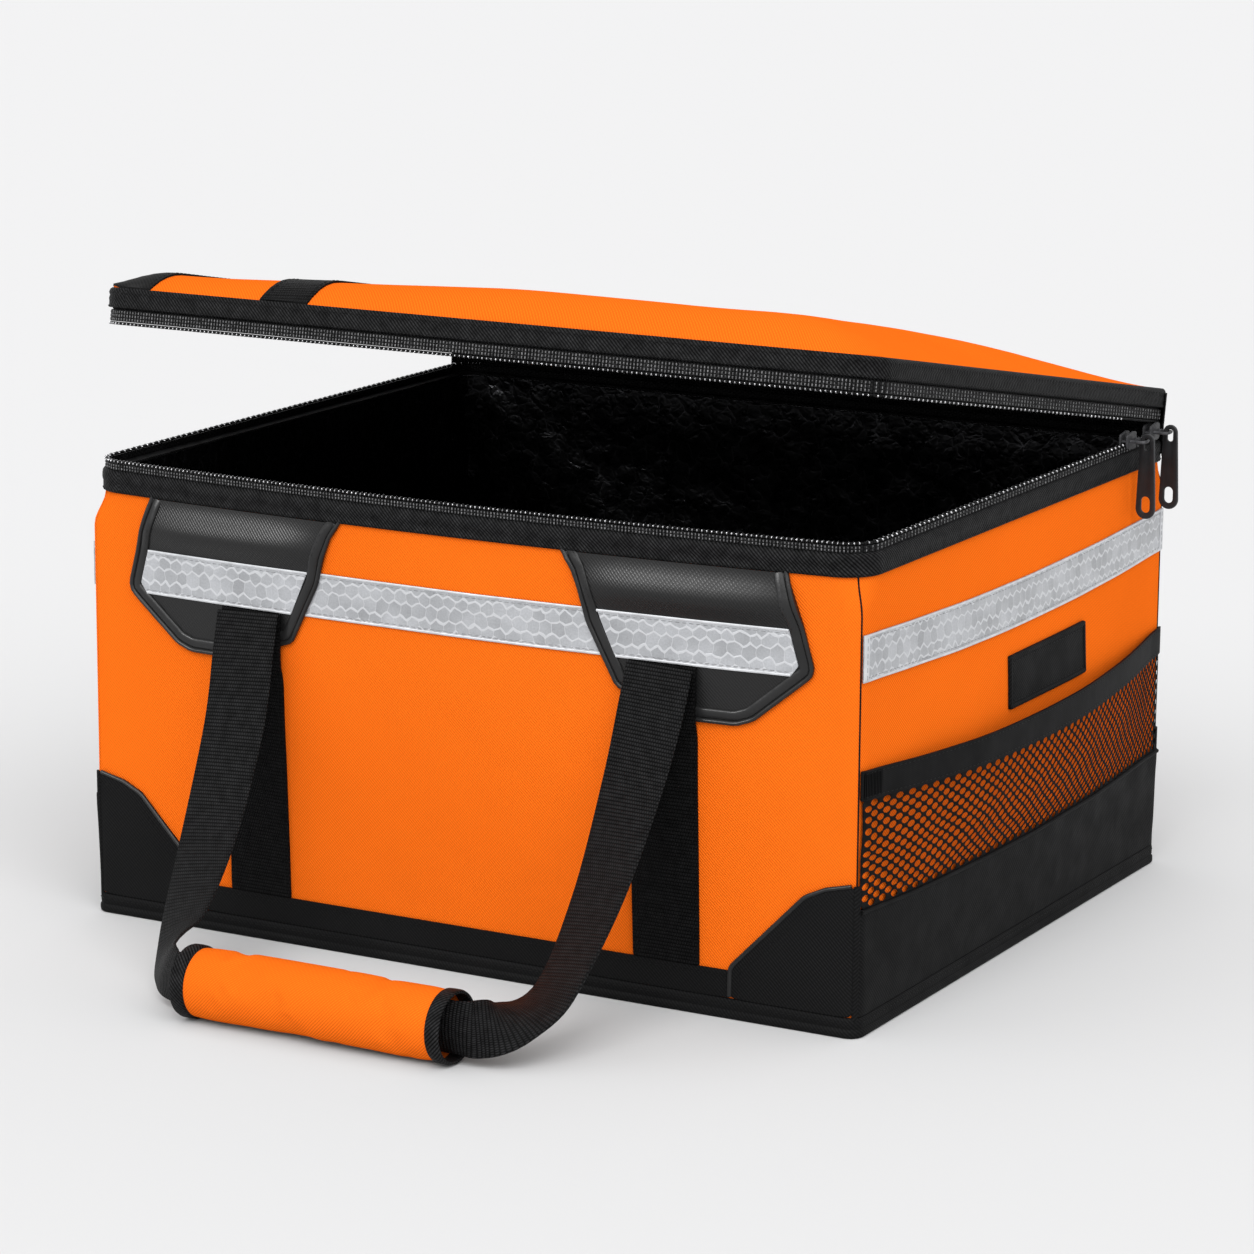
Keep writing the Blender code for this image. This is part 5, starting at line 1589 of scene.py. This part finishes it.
def build_pocket():
    """The slack net pocket of the right side and the binding along its mouth."""
    wall = WALLS["right"]
    half = wall.half_length - 0.0012
    builder = bmesh.new()
    columns, rows = 2 * NET_COLUMNS, 2 * NET_ROWS
    knots = {}

    def knot(a, b):
        key = (round(a, 4), round(b, 4))
        if key not in knots:
            knots[key] = builder.verts.new((a, b, 0))
        return knots[key]

    ways = ((1, 0), (0, 1), (-1, 0), (0, -1))
    for a in range(columns + 1):
        for b in range(rows + 1):
            if (a + b) % 2 == 0:
                continue
            inside = [(x, y) for x, y in ways if 0 <= a + x <= columns and 0 <= b + y <= rows]
            if len(inside) < 4:
                builder.faces.new([knot(a + x, b + y) for x, y in inside])
                continue
            for (x, y), (nx, ny) in zip(ways, ways[1:] + ways[:1]):
                builder.faces.new((
                    knot(a + x, b + y), knot(a + nx, b + ny), knot(a + nx * NET_HOLE, b + ny * NET_HOLE),
                    knot(a + x * NET_HOLE, b + y * NET_HOLE)))
    upper = extruded(builder)
    for vertex in builder.verts:
        drift = 0.6 * sin(pi * vertex.co.y / rows)
        a = vertex.co.x + drift * wobble(vertex.co.x, vertex.co.y, 0.0, 7.0, 1.9)
        b = vertex.co.y + drift * wobble(vertex.co.x, vertex.co.y, 5.0, 6.0, 3.9)
        across = min(max(a / columns, 0.0), 1.0)
        u = -half + 2 * half * across * (1.35 - 0.35 * across)
        low, high = lower_panel_top(u) - 0.0006, pocket_mouth(u) + 0.0008
        z = mixed(low, high, min(max(b / rows, 0.0), 1.0))
        lift = 0.0009 * (1 - eased(z - low, 0.0, 0.006)) + 0.0002
        vertex.co = wall.point(u, z, pocket_out(u, z) + lift + (NET_THICK if vertex in upper else 0.0))
    soften(add_piece("pocket_mesh", to_mesh(builder), "net", ("pocket_net",), sharp=180.0))
    pocket_edges(wall)


def soften(piece):
    """Round a piece off by one subdivision."""
    rounding = piece.modifiers.new("rounding", "SUBSURF")
    rounding.levels = rounding.render_levels = 1


def pocket_edges(wall):
    """The binding along the pocket's mouth, and the welt over its lower seam."""
    edge = wall.half_length - 0.0009

    def low(u, z):
        return POCKET_RISE + POCKET_SLACK * loose(u)

    def mouth_line(rise, start, end, cells):
        return level(lambda u: pocket_mouth(u) + rise, start, end, cells)

    outline = mouth_line(0.0, -edge, edge, 60) + mouth_line(POCKET_BINDING, edge, -edge, 60)
    wall_sheet(
        "pocket_mouth_binding", "right", outline, low, POCKET_BINDING_THICK, "smooth binding", ("pocket_binding",),
        cell=0.004, bevel=0.0005)
    stitches, binding = Beads(), raised(wall.point, low)
    for rise in (0.0018, POCKET_BINDING - 0.0016):
        path = mouth_line(rise, 0.002 - edge, edge - 0.002, 90)
        stitches.stitch_path(binding, path, POCKET_BINDING_THICK)
    seam = level(lambda u: lower_panel_top(u) - 0.0012, edge - 0.001, 0.001 - edge, 90)
    profile = (
        (-0.0012, -0.0004), (-0.0011, 0.0007), (-0.0003, 0.0013), (0.0007, 0.0011), (0.0013, 0.0005), (0.0015, -0.0004))
    welted = welt(wall.point, seam, profile, GAP + TRIM + 0.0008)
    add_piece("pocket_lower_seam", welted, "smooth binding")
    ribs = Beads()
    for u in spaced(0.0015 - edge, 0.019 - edge, 11):
        z = pocket_mouth(u) + POCKET_BINDING / 2
        centre = binding(u, z, POCKET_BINDING_THICK)
        out = binding(u, z, POCKET_BINDING_THICK + 0.001) - centre
        ribs.add(centre, UP, out, POCKET_BINDING - 0.0015, 0.00055, 0.0004)
    add_beads("pocket_binding_ribs", ribs, "smooth binding")
    add_beads("pocket_stitches", stitches)


def build_label():
    """The bare label on the right side, with its raised sewn border."""
    outline = box_outline(*LABEL, 0.0015)
    wall = WALLS["right"]
    wall_sheet("side_label", "right", outline, GAP, LABEL_THICK, "coated", ("label_patch",), cell=0.004, bevel=0.0004)
    border = resampled(outline, 0.002, closed=True)[0]
    profile = (
        (0.0, -0.0012), (-0.0001, 0.0), (0.0002, 0.0004), (0.0007, 0.0006), (0.0023, 0.0006), (0.0027, 0.0003),
        (0.0028, -0.0003))
    add_piece("label_border", welt(wall.point, border, profile, GAP + LABEL_THICK, closed=True), "coated")
    stitches = Beads()
    stitches.stitch_path(wall.point, inset(border, 0.0040, closed=True), GAP + LABEL_THICK, closed=True)
    add_beads("label_stitches", stitches)


# Lid pieces


def rim_outline(distance):
    """The rim's outline drawn in by a distance."""
    return [(place - distance * way).xy for place, way in rim_stations()]


def build_lid_shell():
    """The lid's domed cloth, its insulation and its foil."""
    cloth = cut_sheet(lid_point, rim_outline(0.0), -CLOTH, CLOTH, cell=0.007, bevel=0.0)
    add_piece("lid_cloth", cloth, "cloth", ("lid_panel",), "lid")
    foam = cut_sheet(lid_point, rim_outline(LID_INSET), -0.0068, 0.005, cell=0.03, bevel=0.0)
    add_piece("lid_insulation", foam, "foam", ("lid_foam",), "lid")

    def crinkle(x, y):
        inward = max(min(HALF_WIDTH - abs(x), HALF_DEPTH - abs(y), 0.03) / 0.03, 0.0)
        folds = 0.45 + wobble(x, y, 0.0, 0.016, 5.5) + 0.5 * wobble(x, y, 0.4, 0.009, 5.5)
        return -0.0016 * inward * max(folds, 0.0)

    foil = cut_sheet(lid_point, rim_outline(LID_INSET), -0.0070, -STRIP, cell=0.0045, bevel=0.0, rise=crinkle)
    add_piece("lid_foil", foil, "foil", ("lid_liner",), "lid", sharp=60.0)


def build_lid_edge():
    """Binding, tape, coil and teeth round the lid."""
    stations = rim_stations()
    low, high = LID_BAND
    middle = (low + high) / 2
    profile = [(out, HINGE_Z + z) for out, z in (
        (-0.0010, low), (-0.0004, low + 0.0010), (0.0014, low + 0.0011), (0.0021, low + 0.0014),
        (0.0022, low + 0.0022), (0.0018, low + 0.0029), (0.0019, middle - 0.0006), (0.0022, middle + 0.0010),
        (0.0018, high - 0.0024), (0.0022, high - 0.0016), (0.0023, high - 0.0002), (0.0018, high + 0.0010),
        (0.0006, high + 0.0019), (-0.0010, high + 0.0012))]
    add_piece("lid_ribbed_band", hoop(stations, profile, LID_TURN), "ribbed", ("lid_band",), "lid", sharp=55.0)
    tape = tape_profile(HINGE_Z + LID_TAPE[0] - 0.0002, HINGE_Z + LID_TAPE[1] + 0.0004)
    add_piece("lid_tape", hoop(stations, tape, LID_TURN), "tape", ("lid_zipper_tape",), "lid")
    coil = coil_profile(HINGE_Z + sum(LID_COIL) / 2)
    add_piece("lid_coil", hoop(stations, coil, LID_TURN), "tape", ("lid_zipper_coil",), "lid", sharp=80.0)
    add_beads("lid_teeth", zipper_run(stations, HINGE_Z + LID_COIL[0] + 0.0007, LID_TURN), "teeth", "lid")
    ribs = tape_ribs(stations, HINGE_Z + LID_TAPE[0], HINGE_Z + LID_TAPE[1], LID_TURN)
    add_beads("lid_tape_ribs", ribs, "glinting rib cord", "lid")
    stitches = Beads()
    for out, z in ((0.0022, low + 0.0021), (0.0023, high - 0.0010)):
        stitches.stitch_hoop(stations, out, HINGE_Z + z, LID_TURN)
    add_beads("lid_stitches", stitches, body="lid")


def build_lid_trim():
    """The strap across the lid and the trim along its left end."""
    stitches = Beads()

    def near(x):
        return -HALF_DEPTH - front_bow(x) - LID_TRIM_OVER

    left, right = LID_STRAP
    outline = level(near, left, right, 4) + level(HALF_DEPTH + LID_TRIM_OVER, right, left, 1)
    strap = cut_sheet(lid_point, outline, GAP / 2, TRIM, cell=0.006, bevel=0.0004)
    add_piece("lid_webbing_strap", strap, "shaded sewn webbing", ("lid_strap",), "lid")
    around = rim_outline(-LID_TRIM_OVER)
    half = len(around) // 2
    end = [point for point in around[half:] + around[:half] if point.x < LID_TRIM_EDGE]
    outline = [Vector((LID_TRIM_EDGE, end[0].y))] + end + [Vector((LID_TRIM_EDGE, end[-1].y))]
    trim = cut_sheet(lid_point, outline, GAP / 2, TRIM, cell=0.005, bevel=0.0004)
    add_piece("lid_end_cloth", trim, "coated", ("lid_end_trim",), "lid")
    paths = [upright(x, near(x) + 0.003, HALF_DEPTH - 0.003, 80) for x in (left + 0.0028, right - 0.0028)]
    paths.append(upright(LID_TRIM_EDGE - 0.003, 0.002 - HALF_DEPTH, HALF_DEPTH - 0.002, 80))
    for path in paths:
        stitches.stitch_path(lid_point, path, GAP / 2 + TRIM)
    add_beads("lid_trim_stitches", stitches, body="lid")


def build_hinge():
    """One band of webbing across the rear gap, on which the lid turns."""
    sections = []
    for place, way in rim_stations():
        if place.y > HALF_DEPTH - REAR_RIM_RADIUS + 0.0005:
            sections.append([place + out * way + z * UP for out, z in hinge_profile()])
    mesh = loft(sections)
    for vertex in mesh.vertices:
        share = eased(vertex.co.z, HINGE_Z - 0.003, HINGE_Z + 0.003)
        vertex.co = vertex.co.lerp(LID_TURN @ vertex.co, share)
    piece = add_piece("rear_hinge_webbing", mesh, "ribbed", ("rear_hinge_tape", "lid_hinge_flap"), None)
    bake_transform(piece)


def hinge_profile():
    """A thin band over the rim's and the lid's bindings, as distances outward and heights."""
    heights = spaced(HINGE_Z - HINGE_BELOW, HINGE_Z + HINGE_ABOVE, 26)
    return [(0.0033, z) for z in heights] + [(0.0025, z) for z in reversed(heights)]


# Handles


def smooth_path(points, steps):
    """A smooth curve through the points, with their extra values."""
    def blend(a, b, c, d, t):
        return 0.5 * (2 * b + (c - a) * t + (2 * a - 5 * b + 4 * c - d) * t ** 2 + (3 * b - a - 3 * c + d) * t ** 3)
    made = []
    for k in range(len(points) - 1):
        around = [points[min(max(k + shift, 0), len(points) - 1)] for shift in (-1, 0, 1, 2)]
        for t in spaced(0.0, 1.0, steps)[:-1]:
            made.append(tuple(blend(*values, t) for values in zip(*around)))
    made.append(points[-1])
    return made


def strap_route(fold):
    """Places, turns and twists of the webbing, from one fold through the grip to the other."""
    side_reach = STRAP_PLACE - GRIP_LENGTH / 2
    drop = fold.z - GRIP_HEIGHT
    half = [
        (aside * side_reach - STRAP_PLACE, fold.y - out * GRIP_REACH, fold.z - down * drop, turn * pi / 2, twist)
        for out, down, aside, turn, twist in STRAP_ROUTE]
    half += [(x, fold.y - GRIP_REACH, GRIP_HEIGHT, pi / 2, 0.0) for x in (-0.045, 0.0)]
    left = [(x, y, z, turn, 0.0) for x, y, z, turn, twist in half]
    right = [(-x, y, z, pi - turn, twist) for x, y, z, turn, twist in reversed(half[:-1])]
    return smooth_path(left + right, 9)


def strap_mesh(fold):
    """Webbing with soft edges along the route, as for the front handle."""
    route = strap_route(fold)
    sections = []
    for k, (*place, turn, twist) in enumerate(route):
        place = Vector(place)
        ahead, behind = (Vector(route[min(max(k + step, 0), len(route) - 1)][:3]) for step in (1, -1))
        way = (ahead - behind).normalized()
        across = Vector((cos(turn), 0, sin(turn)))
        across = (across - across.dot(way) * way).normalized()
        flat = way.cross(across)
        across, flat = (
            cos(twist) * across + sin(twist) * flat, cos(twist) * flat - sin(twist) * across)
        half = mixed(STRAP_IN_GRIP, STRAP_WIDTH, abs(cos(turn))) / 2
        cup = mixed(0.0009, STRAP_CUP, sin(turn) ** 4) * sin(pi * k / (len(route) - 1)) ** 0.5
        section = []
        for side in (1, -1):
            for share in spaced(-0.97, 0.97, 8):
                lift = cup * (1 - share ** 2)
                section.append(place + side * share * half * across + (side * STRAP_THICK / 2 + lift) * flat)
            section.append(place + side * half * across)
        sections.append(section)
    return loft(sections)


def swollen_sleeve(lengthwise, angles):
    """How far the sleeve's cloth moves outward when it swells between its bound ends.

    The cloth is simulated as a little too large for its padding, so it creases.
    """
    builder = bmesh.new()
    rings = []
    for x in lengthwise:
        radii = [GRIP_RADIUS + 0.0003 * wobble(x, angle * 0.019, 0.0, 0.02, 11.0) for angle in angles]
        rings.append([builder.verts.new((x, r * cos(a), r * sin(a))) for r, a in zip(radii, angles)])
    join_rings(builder, rings)
    bmesh.ops.recalc_face_normals(builder, faces=builder.faces)
    mesh = plain_mesh(builder)
    simulate_cloth(mesh, [v.index for v in mesh.vertices if abs(v.co.x) > GRIP_LENGTH / 2 - GRIP_HELD])
    moves = [hypot(v.co.y, v.co.z) - GRIP_RADIUS for v in mesh.vertices]
    bpy.data.meshes.remove(mesh)
    caps = [CREASE_OUT if move > 0 else CREASE_IN for move in moves]
    capped = [cap * tanh(move / cap) for move, cap in zip(moves, caps)]
    count = len(angles)
    return [capped[row * count:(row + 1) * count] for row in range(len(lengthwise))]


def simulate_cloth(mesh, held):
    """Let a mesh swell under pressure for a few frames, held still at some points."""
    pad = bpy.data.objects.new("pad", mesh)
    scene = bpy.context.scene
    scene.collection.objects.link(pad)
    pad.vertex_groups.new(name="held").add(held, 1.0, "REPLACE")
    cloth = pad.modifiers.new("cloth", "CLOTH")
    settings = cloth.settings
    settings.quality = 5
    settings.use_pressure = True
    settings.uniform_pressure_force = 200.0
    settings.effector_weights.gravity = 0.0
    settings.vertex_group_mass = "held"
    settings.shrink_min = -0.022
    settings.bending_stiffness = 8.0
    cloth.point_cache.frame_start, cloth.point_cache.frame_end = 1, CLOTH_FRAMES
    for moment in range(1, CLOTH_FRAMES + 1):
        scene.frame_set(moment)
    shaped = pad.evaluated_get(bpy.context.evaluated_depsgraph_get())
    places = [vertex.co.copy() for vertex in shaped.data.vertices]
    bpy.data.objects.remove(pad)
    scene.frame_set(1)
    for vertex, place in zip(mesh.vertices, places):
        vertex.co = place


def grip_mesh(fold, lengthwise, angles, moves):
    """The padded sleeve, fuller between its bound ends and creased."""
    profiles = []
    for column in range(len(angles)):
        profile = []
        for row, x in enumerate(lengthwise):
            end = 1 - eased(GRIP_LENGTH / 2 - abs(x), 0.004, 0.020)
            profile.append((x, GRIP_RADIUS + (1 - end) * (0.0001 + moves[row][column]) - 0.0004 * end))
        profiles.append(profile + [(x, GRIP_BORE) for x in reversed(lengthwise[::8])])
    return turned_round(fold, angles, profiles)


def turned_round(fold, angles, profiles):
    """A closed skin round the grip's axis, from a profile of places along it and radii at each angle."""
    centre = Vector((0, fold.y - GRIP_REACH, GRIP_HEIGHT))
    return loft([[centre + Vector((x, radius * cos(angle), radius * sin(angle))) for x, radius in profile]
                 for angle, profile in zip(angles, profiles)], ring=True)


def grip_end_mesh(fold, angles, sign):
    """The bound end of the sleeve."""
    profile = [(sign * (GRIP_LENGTH / 2 - inward), radius) for inward, radius in (
        (0.0090, 0.0187), (0.0087, 0.0197), (0.0078, 0.0203), (0.0045, 0.0205), (0.0015, 0.0204), (0.0002, 0.0199),
        (0.0, 0.0192), (0.0004, 0.0184), (0.0085, 0.0183))]
    return turned_round(fold, angles, [profile] * len(angles))


def build_handles():
    """Webbing, padded sleeve and bound ends of both handles."""
    lengthwise = spaced(0.0012 - GRIP_LENGTH / 2, GRIP_LENGTH / 2 - 0.0012, 56)
    angles = round_angles(64)
    moves = swollen_sleeve(lengthwise, angles)
    for face, fold in (("front", Vector(FRONT_FOLD)), ("rear", Vector(REAR_FOLD))):
        local = Vector((fold.x, -abs(fold.y), fold.z))
        made = (
            ("handle_strap", strap_mesh(local), "handle webbing", (f"{face}_handle_webbing",)),
            ("handle_grip", grip_mesh(local, lengthwise, angles, moves), "cloth", (f"{face}_grip_sleeve",)),
            ("grip_left_end", grip_end_mesh(local, angles, -1), "ribbed", ()),
            ("grip_right_end", grip_end_mesh(local, angles, 1), "ribbed", ()),
        )
        for name, mesh, finish, replaced in made:
            if face == "rear":
                mesh.transform(Matrix.Scale(-1, 4, Vector((0, 1, 0))))
                mesh.flip_normals()
            piece = add_piece(f"{face}_{name}", mesh, finish, replaced, f"{face}_handle", sharp=50.0)
            if finish == "cloth":
                soften(piece)


# Zipper hardware


def plate_outline():
    """A slider plate's edge, narrower at its rear end, as distances along and up."""
    lower = [(SLIDER_HALF_LENGTH * along, -SLIDER_HALF_HEIGHT * down) for along, down in (
        (-1.0, 0.72), (0.35, 1.0), (1.0, 0.86))]
    return rounded(lower + [(along, -down) for along, down in reversed(lower)], 0.0022)


def plate(outline, low, high, place, bevel=0.0004):
    """A bevelled plate standing along the bag's side."""
    return cut_sheet(lambda y, z, out: place + Vector((out, y, z)), outline, low, high - low, cell=0.01, bevel=bevel)


def bar(path, radius, flatten):
    """A bar along a level path, with an oval section."""
    sections = []
    for k, here in enumerate(path):
        way = (path[min(k + 1, len(path) - 1)] - path[max(k - 1, 0)]).normalized()
        side = way.cross(UP).normalized()
        up = side.cross(way)
        sections.append([here + radius * (cos(a) * side + flatten * sin(a) * up) for a in round_angles(10)])
    return loft(sections)


def build_sliders():
    """Two sliders with their bridges."""
    outline, post = plate_outline(), box_outline(-0.006, 0.006, -0.00045, 0.00045, 0.0002)
    reach = PULL_X - HALF_WIDTH
    half_bridge = [
        (0.0018, -0.0042), (0.0060, -0.0042), (reach - 0.0012, -0.0042), (reach - 0.0002, -0.0036), (reach, -0.0024)]
    bridge = half_bridge + [(x, -along) for x, along in reversed(half_bridge)]
    for end, y in SLIDER_PLACES:
        place = Vector((HALF_WIDTH, y, HINGE_Z))
        body = joined((
            plate(outline, 0.0011, 0.0023, place), plate(outline, -0.0034, -0.0022, place),
            plate(post, -0.0023, 0.0012, place, bevel=0.0),
            bar([place + Vector((x, 0.0015 + along, 0)) for x, along in bridge], 0.0008, 1.25)))
        add_piece(f"{end}_slider_body", body, "metal", (f"{end}_zipper_slider",), f"{end}_slider", sharp=50.0)


def oval_loop(width, length, centre):
    """A hole with round ends, its middle at a height."""
    radius, straight = width / 2, (length - width) / 2
    points = []
    for sign in (1, -1):
        for angle in spaced(0.0, pi, 10):
            points.append((sign * radius * cos(angle), centre + sign * (straight + radius * sin(angle))))
    return points


def pull_mesh(axis):
    """A cast tab with rounded edges, a slot for the bridge and an oval hole."""
    top, low, length = 0.0046, 0.00625, 0.052
    bottom = -(length - top - low)
    edge = [(top * cos(a), top * sin(a)) for a in spaced(0.0, pi, 12)]
    edge += [(low * cos(a), bottom + low * sin(a)) for a in spaced(pi, 2 * pi, 14)]
    builder = bmesh.new()
    edges = []
    for loop in (edge, oval_loop(0.0036, 0.0075, -0.00195), oval_loop(0.0056, 0.010, -0.03865)):
        verts = [builder.verts.new((x, -PULL_HALF_THICK, z)) for x, z in loop]
        edges += [builder.edges.new((a, b)) for a, b in zip(verts, verts[1:] + verts[:1])]
    bmesh.ops.triangle_fill(builder, edges=edges, use_beauty=True)
    for vertex in extruded(builder):
        vertex.co.y += 2 * PULL_HALF_THICK
    bmesh.ops.recalc_face_normals(builder, faces=builder.faces)
    sharp = [edge for edge in builder.edges if len(edge.link_faces) == 2 and edge.calc_face_angle() > 1.2]
    bmesh.ops.bevel(builder, geom=sharp, offset=0.00055, segments=3, profile=0.5, affect="EDGES", clamp_overlap=True)
    bmesh.ops.translate(builder, verts=builder.verts, vec=axis)
    return to_mesh(builder)


def build_pulls():
    """The pulls that hang on the sliders."""
    for end, y in SLIDER_PLACES:
        axis = Vector((PULL_X, y + PULL_AHEAD, HINGE_Z))
        add_piece(f"{end}_pull_tab", pull_mesh(axis), "metal", (f"{end}_zipper_pull",), f"{end}_pull", sharp=50.0)


# Stage


def direction(azimuth, elevation):
    """The way towards a place in the sky, in degrees from the front and from the floor."""
    around, above = radians(azimuth), radians(elevation)
    return Vector((sin(around) * cos(above), -cos(around) * cos(above), sin(above)))


def camera_ways():
    """Backward, right and up directions of the camera."""
    back = direction(CAMERA_AZIMUTH, CAMERA_ELEVATION)
    across = UP.cross(back).normalized()
    roll = radians(CAMERA_ROLL)
    right = cos(roll) * across + sin(roll) * back.cross(across)
    return back, right, back.cross(right)


def build_stage():
    """Floor, soft light and the camera at the photograph's angle."""
    lines = spaced(-FLOOR_HALF, FLOOR_HALF, FLOOR_CELLS)
    builder = bmesh.new()
    corners = [[builder.verts.new((x, y, FLOOR_LEVEL)) for y in lines] for x in lines]
    for here, there in zip(corners, corners[1:]):
        for k in range(FLOOR_CELLS):
            builder.faces.new((here[k], there[k], there[k + 1], here[k + 1]))
    mesh = plain_mesh(builder)
    mesh.materials.append(floor_material())
    floor = bpy.data.objects.new("floor", mesh)
    bpy.context.scene.collection.objects.link(floor)
    add_lights()
    data = bpy.data.cameras.new("photo_camera")
    data.sensor_width = 36.0
    data.lens = FOCAL_PIXELS / IMAGE_SIZE * data.sensor_width
    data.clip_start, data.clip_end = 0.05, 100.0
    camera = bpy.data.objects.new("photo_camera", data)
    bpy.context.scene.collection.objects.link(camera)
    back, right, above = camera_ways()
    turn = Matrix((right, above, back)).transposed().to_4x4()
    camera.matrix_world = Matrix.Translation(Vector(CAMERA_TARGET) + CAMERA_DISTANCE * back) @ turn
    bpy.context.scene.camera = camera
    bpy.context.scene.view_settings.view_transform = "Standard"


def floor_material():
    material = bpy.data.materials.new("Pale Floor")
    material.use_nodes = True
    shader = material.node_tree.nodes["Principled BSDF"]
    shader.inputs["Base Color"].default_value = (*colours().floor, 1.0)
    shader.inputs["Roughness"].default_value = 0.9
    shader.inputs["Specular IOR Level"].default_value = 0.0
    return material


def add_lights():
    """Two soft suns, one that only satin surfaces show, and an even sky."""
    for name, azimuth, elevation, strength, spread in LIGHTS:
        data = bpy.data.lights.new(name, "SUN")
        data.energy = strength
        data.angle = radians(spread)
        lamp = bpy.data.objects.new(name, data)
        lamp.rotation_euler = direction(azimuth, elevation).to_track_quat("Z", "Y").to_euler()
        lamp.visible_diffuse = name != "satin_light"
        bpy.context.scene.collection.objects.link(lamp)
    world = bpy.data.worlds.new("soft_sky")
    bpy.context.scene.world = world
    world.use_nodes = True
    tree = world.node_tree
    tree.nodes.clear()
    light = put(tree, "ShaderNodeBackground", {"Color": (1.0, 1.0, 1.0, 1.0), "Strength": SKY_STRENGTH})
    backdrop = put(tree, "ShaderNodeBackground", {"Color": BACKDROP, "Strength": 1.0})
    rays = put(tree, "ShaderNodeLightPath").outputs
    seen = calc(tree, "MAXIMUM", rays["Is Camera Ray"], rays["Is Glossy Ray"])
    seen = calc(tree, "MAXIMUM", seen, rays["Is Transmission Ray"])
    mix = put(tree, "ShaderNodeMixShader", {0: seen, 1: light.outputs[0], 2: backdrop.outputs[0]})
    put(tree, "ShaderNodeOutputWorld", {0: mix.outputs[0]})


# Operators and panel


def operator(identity, label, build):
    """An operator class that runs one build function."""
    def execute(self, context):
        build()
        return {"FINISHED"}
    names = {"bl_idname": f"delivery_bag.{identity}", "bl_label": label, "__doc__": build.__doc__, "execute": execute}
    return type(f"DELIVERYBAG_OT_{identity}", (bpy.types.Operator,), names)


OPERATORS = tuple(operator(*row) for row in (
    ("stage", "Stage", build_stage),
    ("walls", "Walls", build_walls),
    ("lining", "Lining", build_lining),
    ("foot", "Foot", build_foot),
    ("rim", "Rim", build_rim),
    ("corner_patches", "Corner patches", build_corner_patches),
    ("handle_patches", "Handle patches", build_handle_patches),
    ("strips", "Reflective strips", build_strips),
    ("lower_panels", "Lower panels", build_lower_panels),
    ("pocket", "Net pocket", build_pocket),
    ("label", "Label", build_label),
    ("lid_shell", "Lid shell", build_lid_shell),
    ("lid_edge", "Lid edge", build_lid_edge),
    ("lid_trim", "Lid trim", build_lid_trim),
    ("hinge", "Hinge", build_hinge),
    ("handles", "Handles", build_handles),
    ("sliders", "Zipper sliders", build_sliders),
    ("pulls", "Zipper pulls", build_pulls),
))


class DELIVERYBAG_PT_pieces(bpy.types.Panel):
    """Lists the bag's settings and its pieces in the sidebar."""

    bl_idname = "DELIVERYBAG_PT_pieces"
    bl_label = "Delivery Bag"
    bl_space_type = "VIEW_3D"
    bl_region_type = "UI"
    bl_category = "Delivery Bag"

    def draw(self, context):
        for settings in (context.scene.delivery_bag_sizes, context.scene.delivery_bag_colours):
            box = self.layout.box()
            for name in settings.__annotations__:
                box.prop(settings, name)
        for made in OPERATORS:
            self.layout.operator(made.bl_idname)


CLASSES = (DeliveryBagSizes, DeliveryBagColours, *OPERATORS, DELIVERYBAG_PT_pieces)


def register():
    for made in CLASSES:
        bpy.utils.register_class(made)
    bpy.types.Scene.delivery_bag_sizes = bpy.props.PointerProperty(type=DeliveryBagSizes)
    bpy.types.Scene.delivery_bag_colours = bpy.props.PointerProperty(type=DeliveryBagColours)


def unregister():
    del bpy.types.Scene.delivery_bag_colours
    del bpy.types.Scene.delivery_bag_sizes
    for made in reversed(CLASSES):
        bpy.utils.unregister_class(made)


def main():
    register()
    for made in OPERATORS:
        group, name = made.bl_idname.split(".")
        getattr(getattr(bpy.ops, group), name)()


if __name__ == "__main__":
    main()
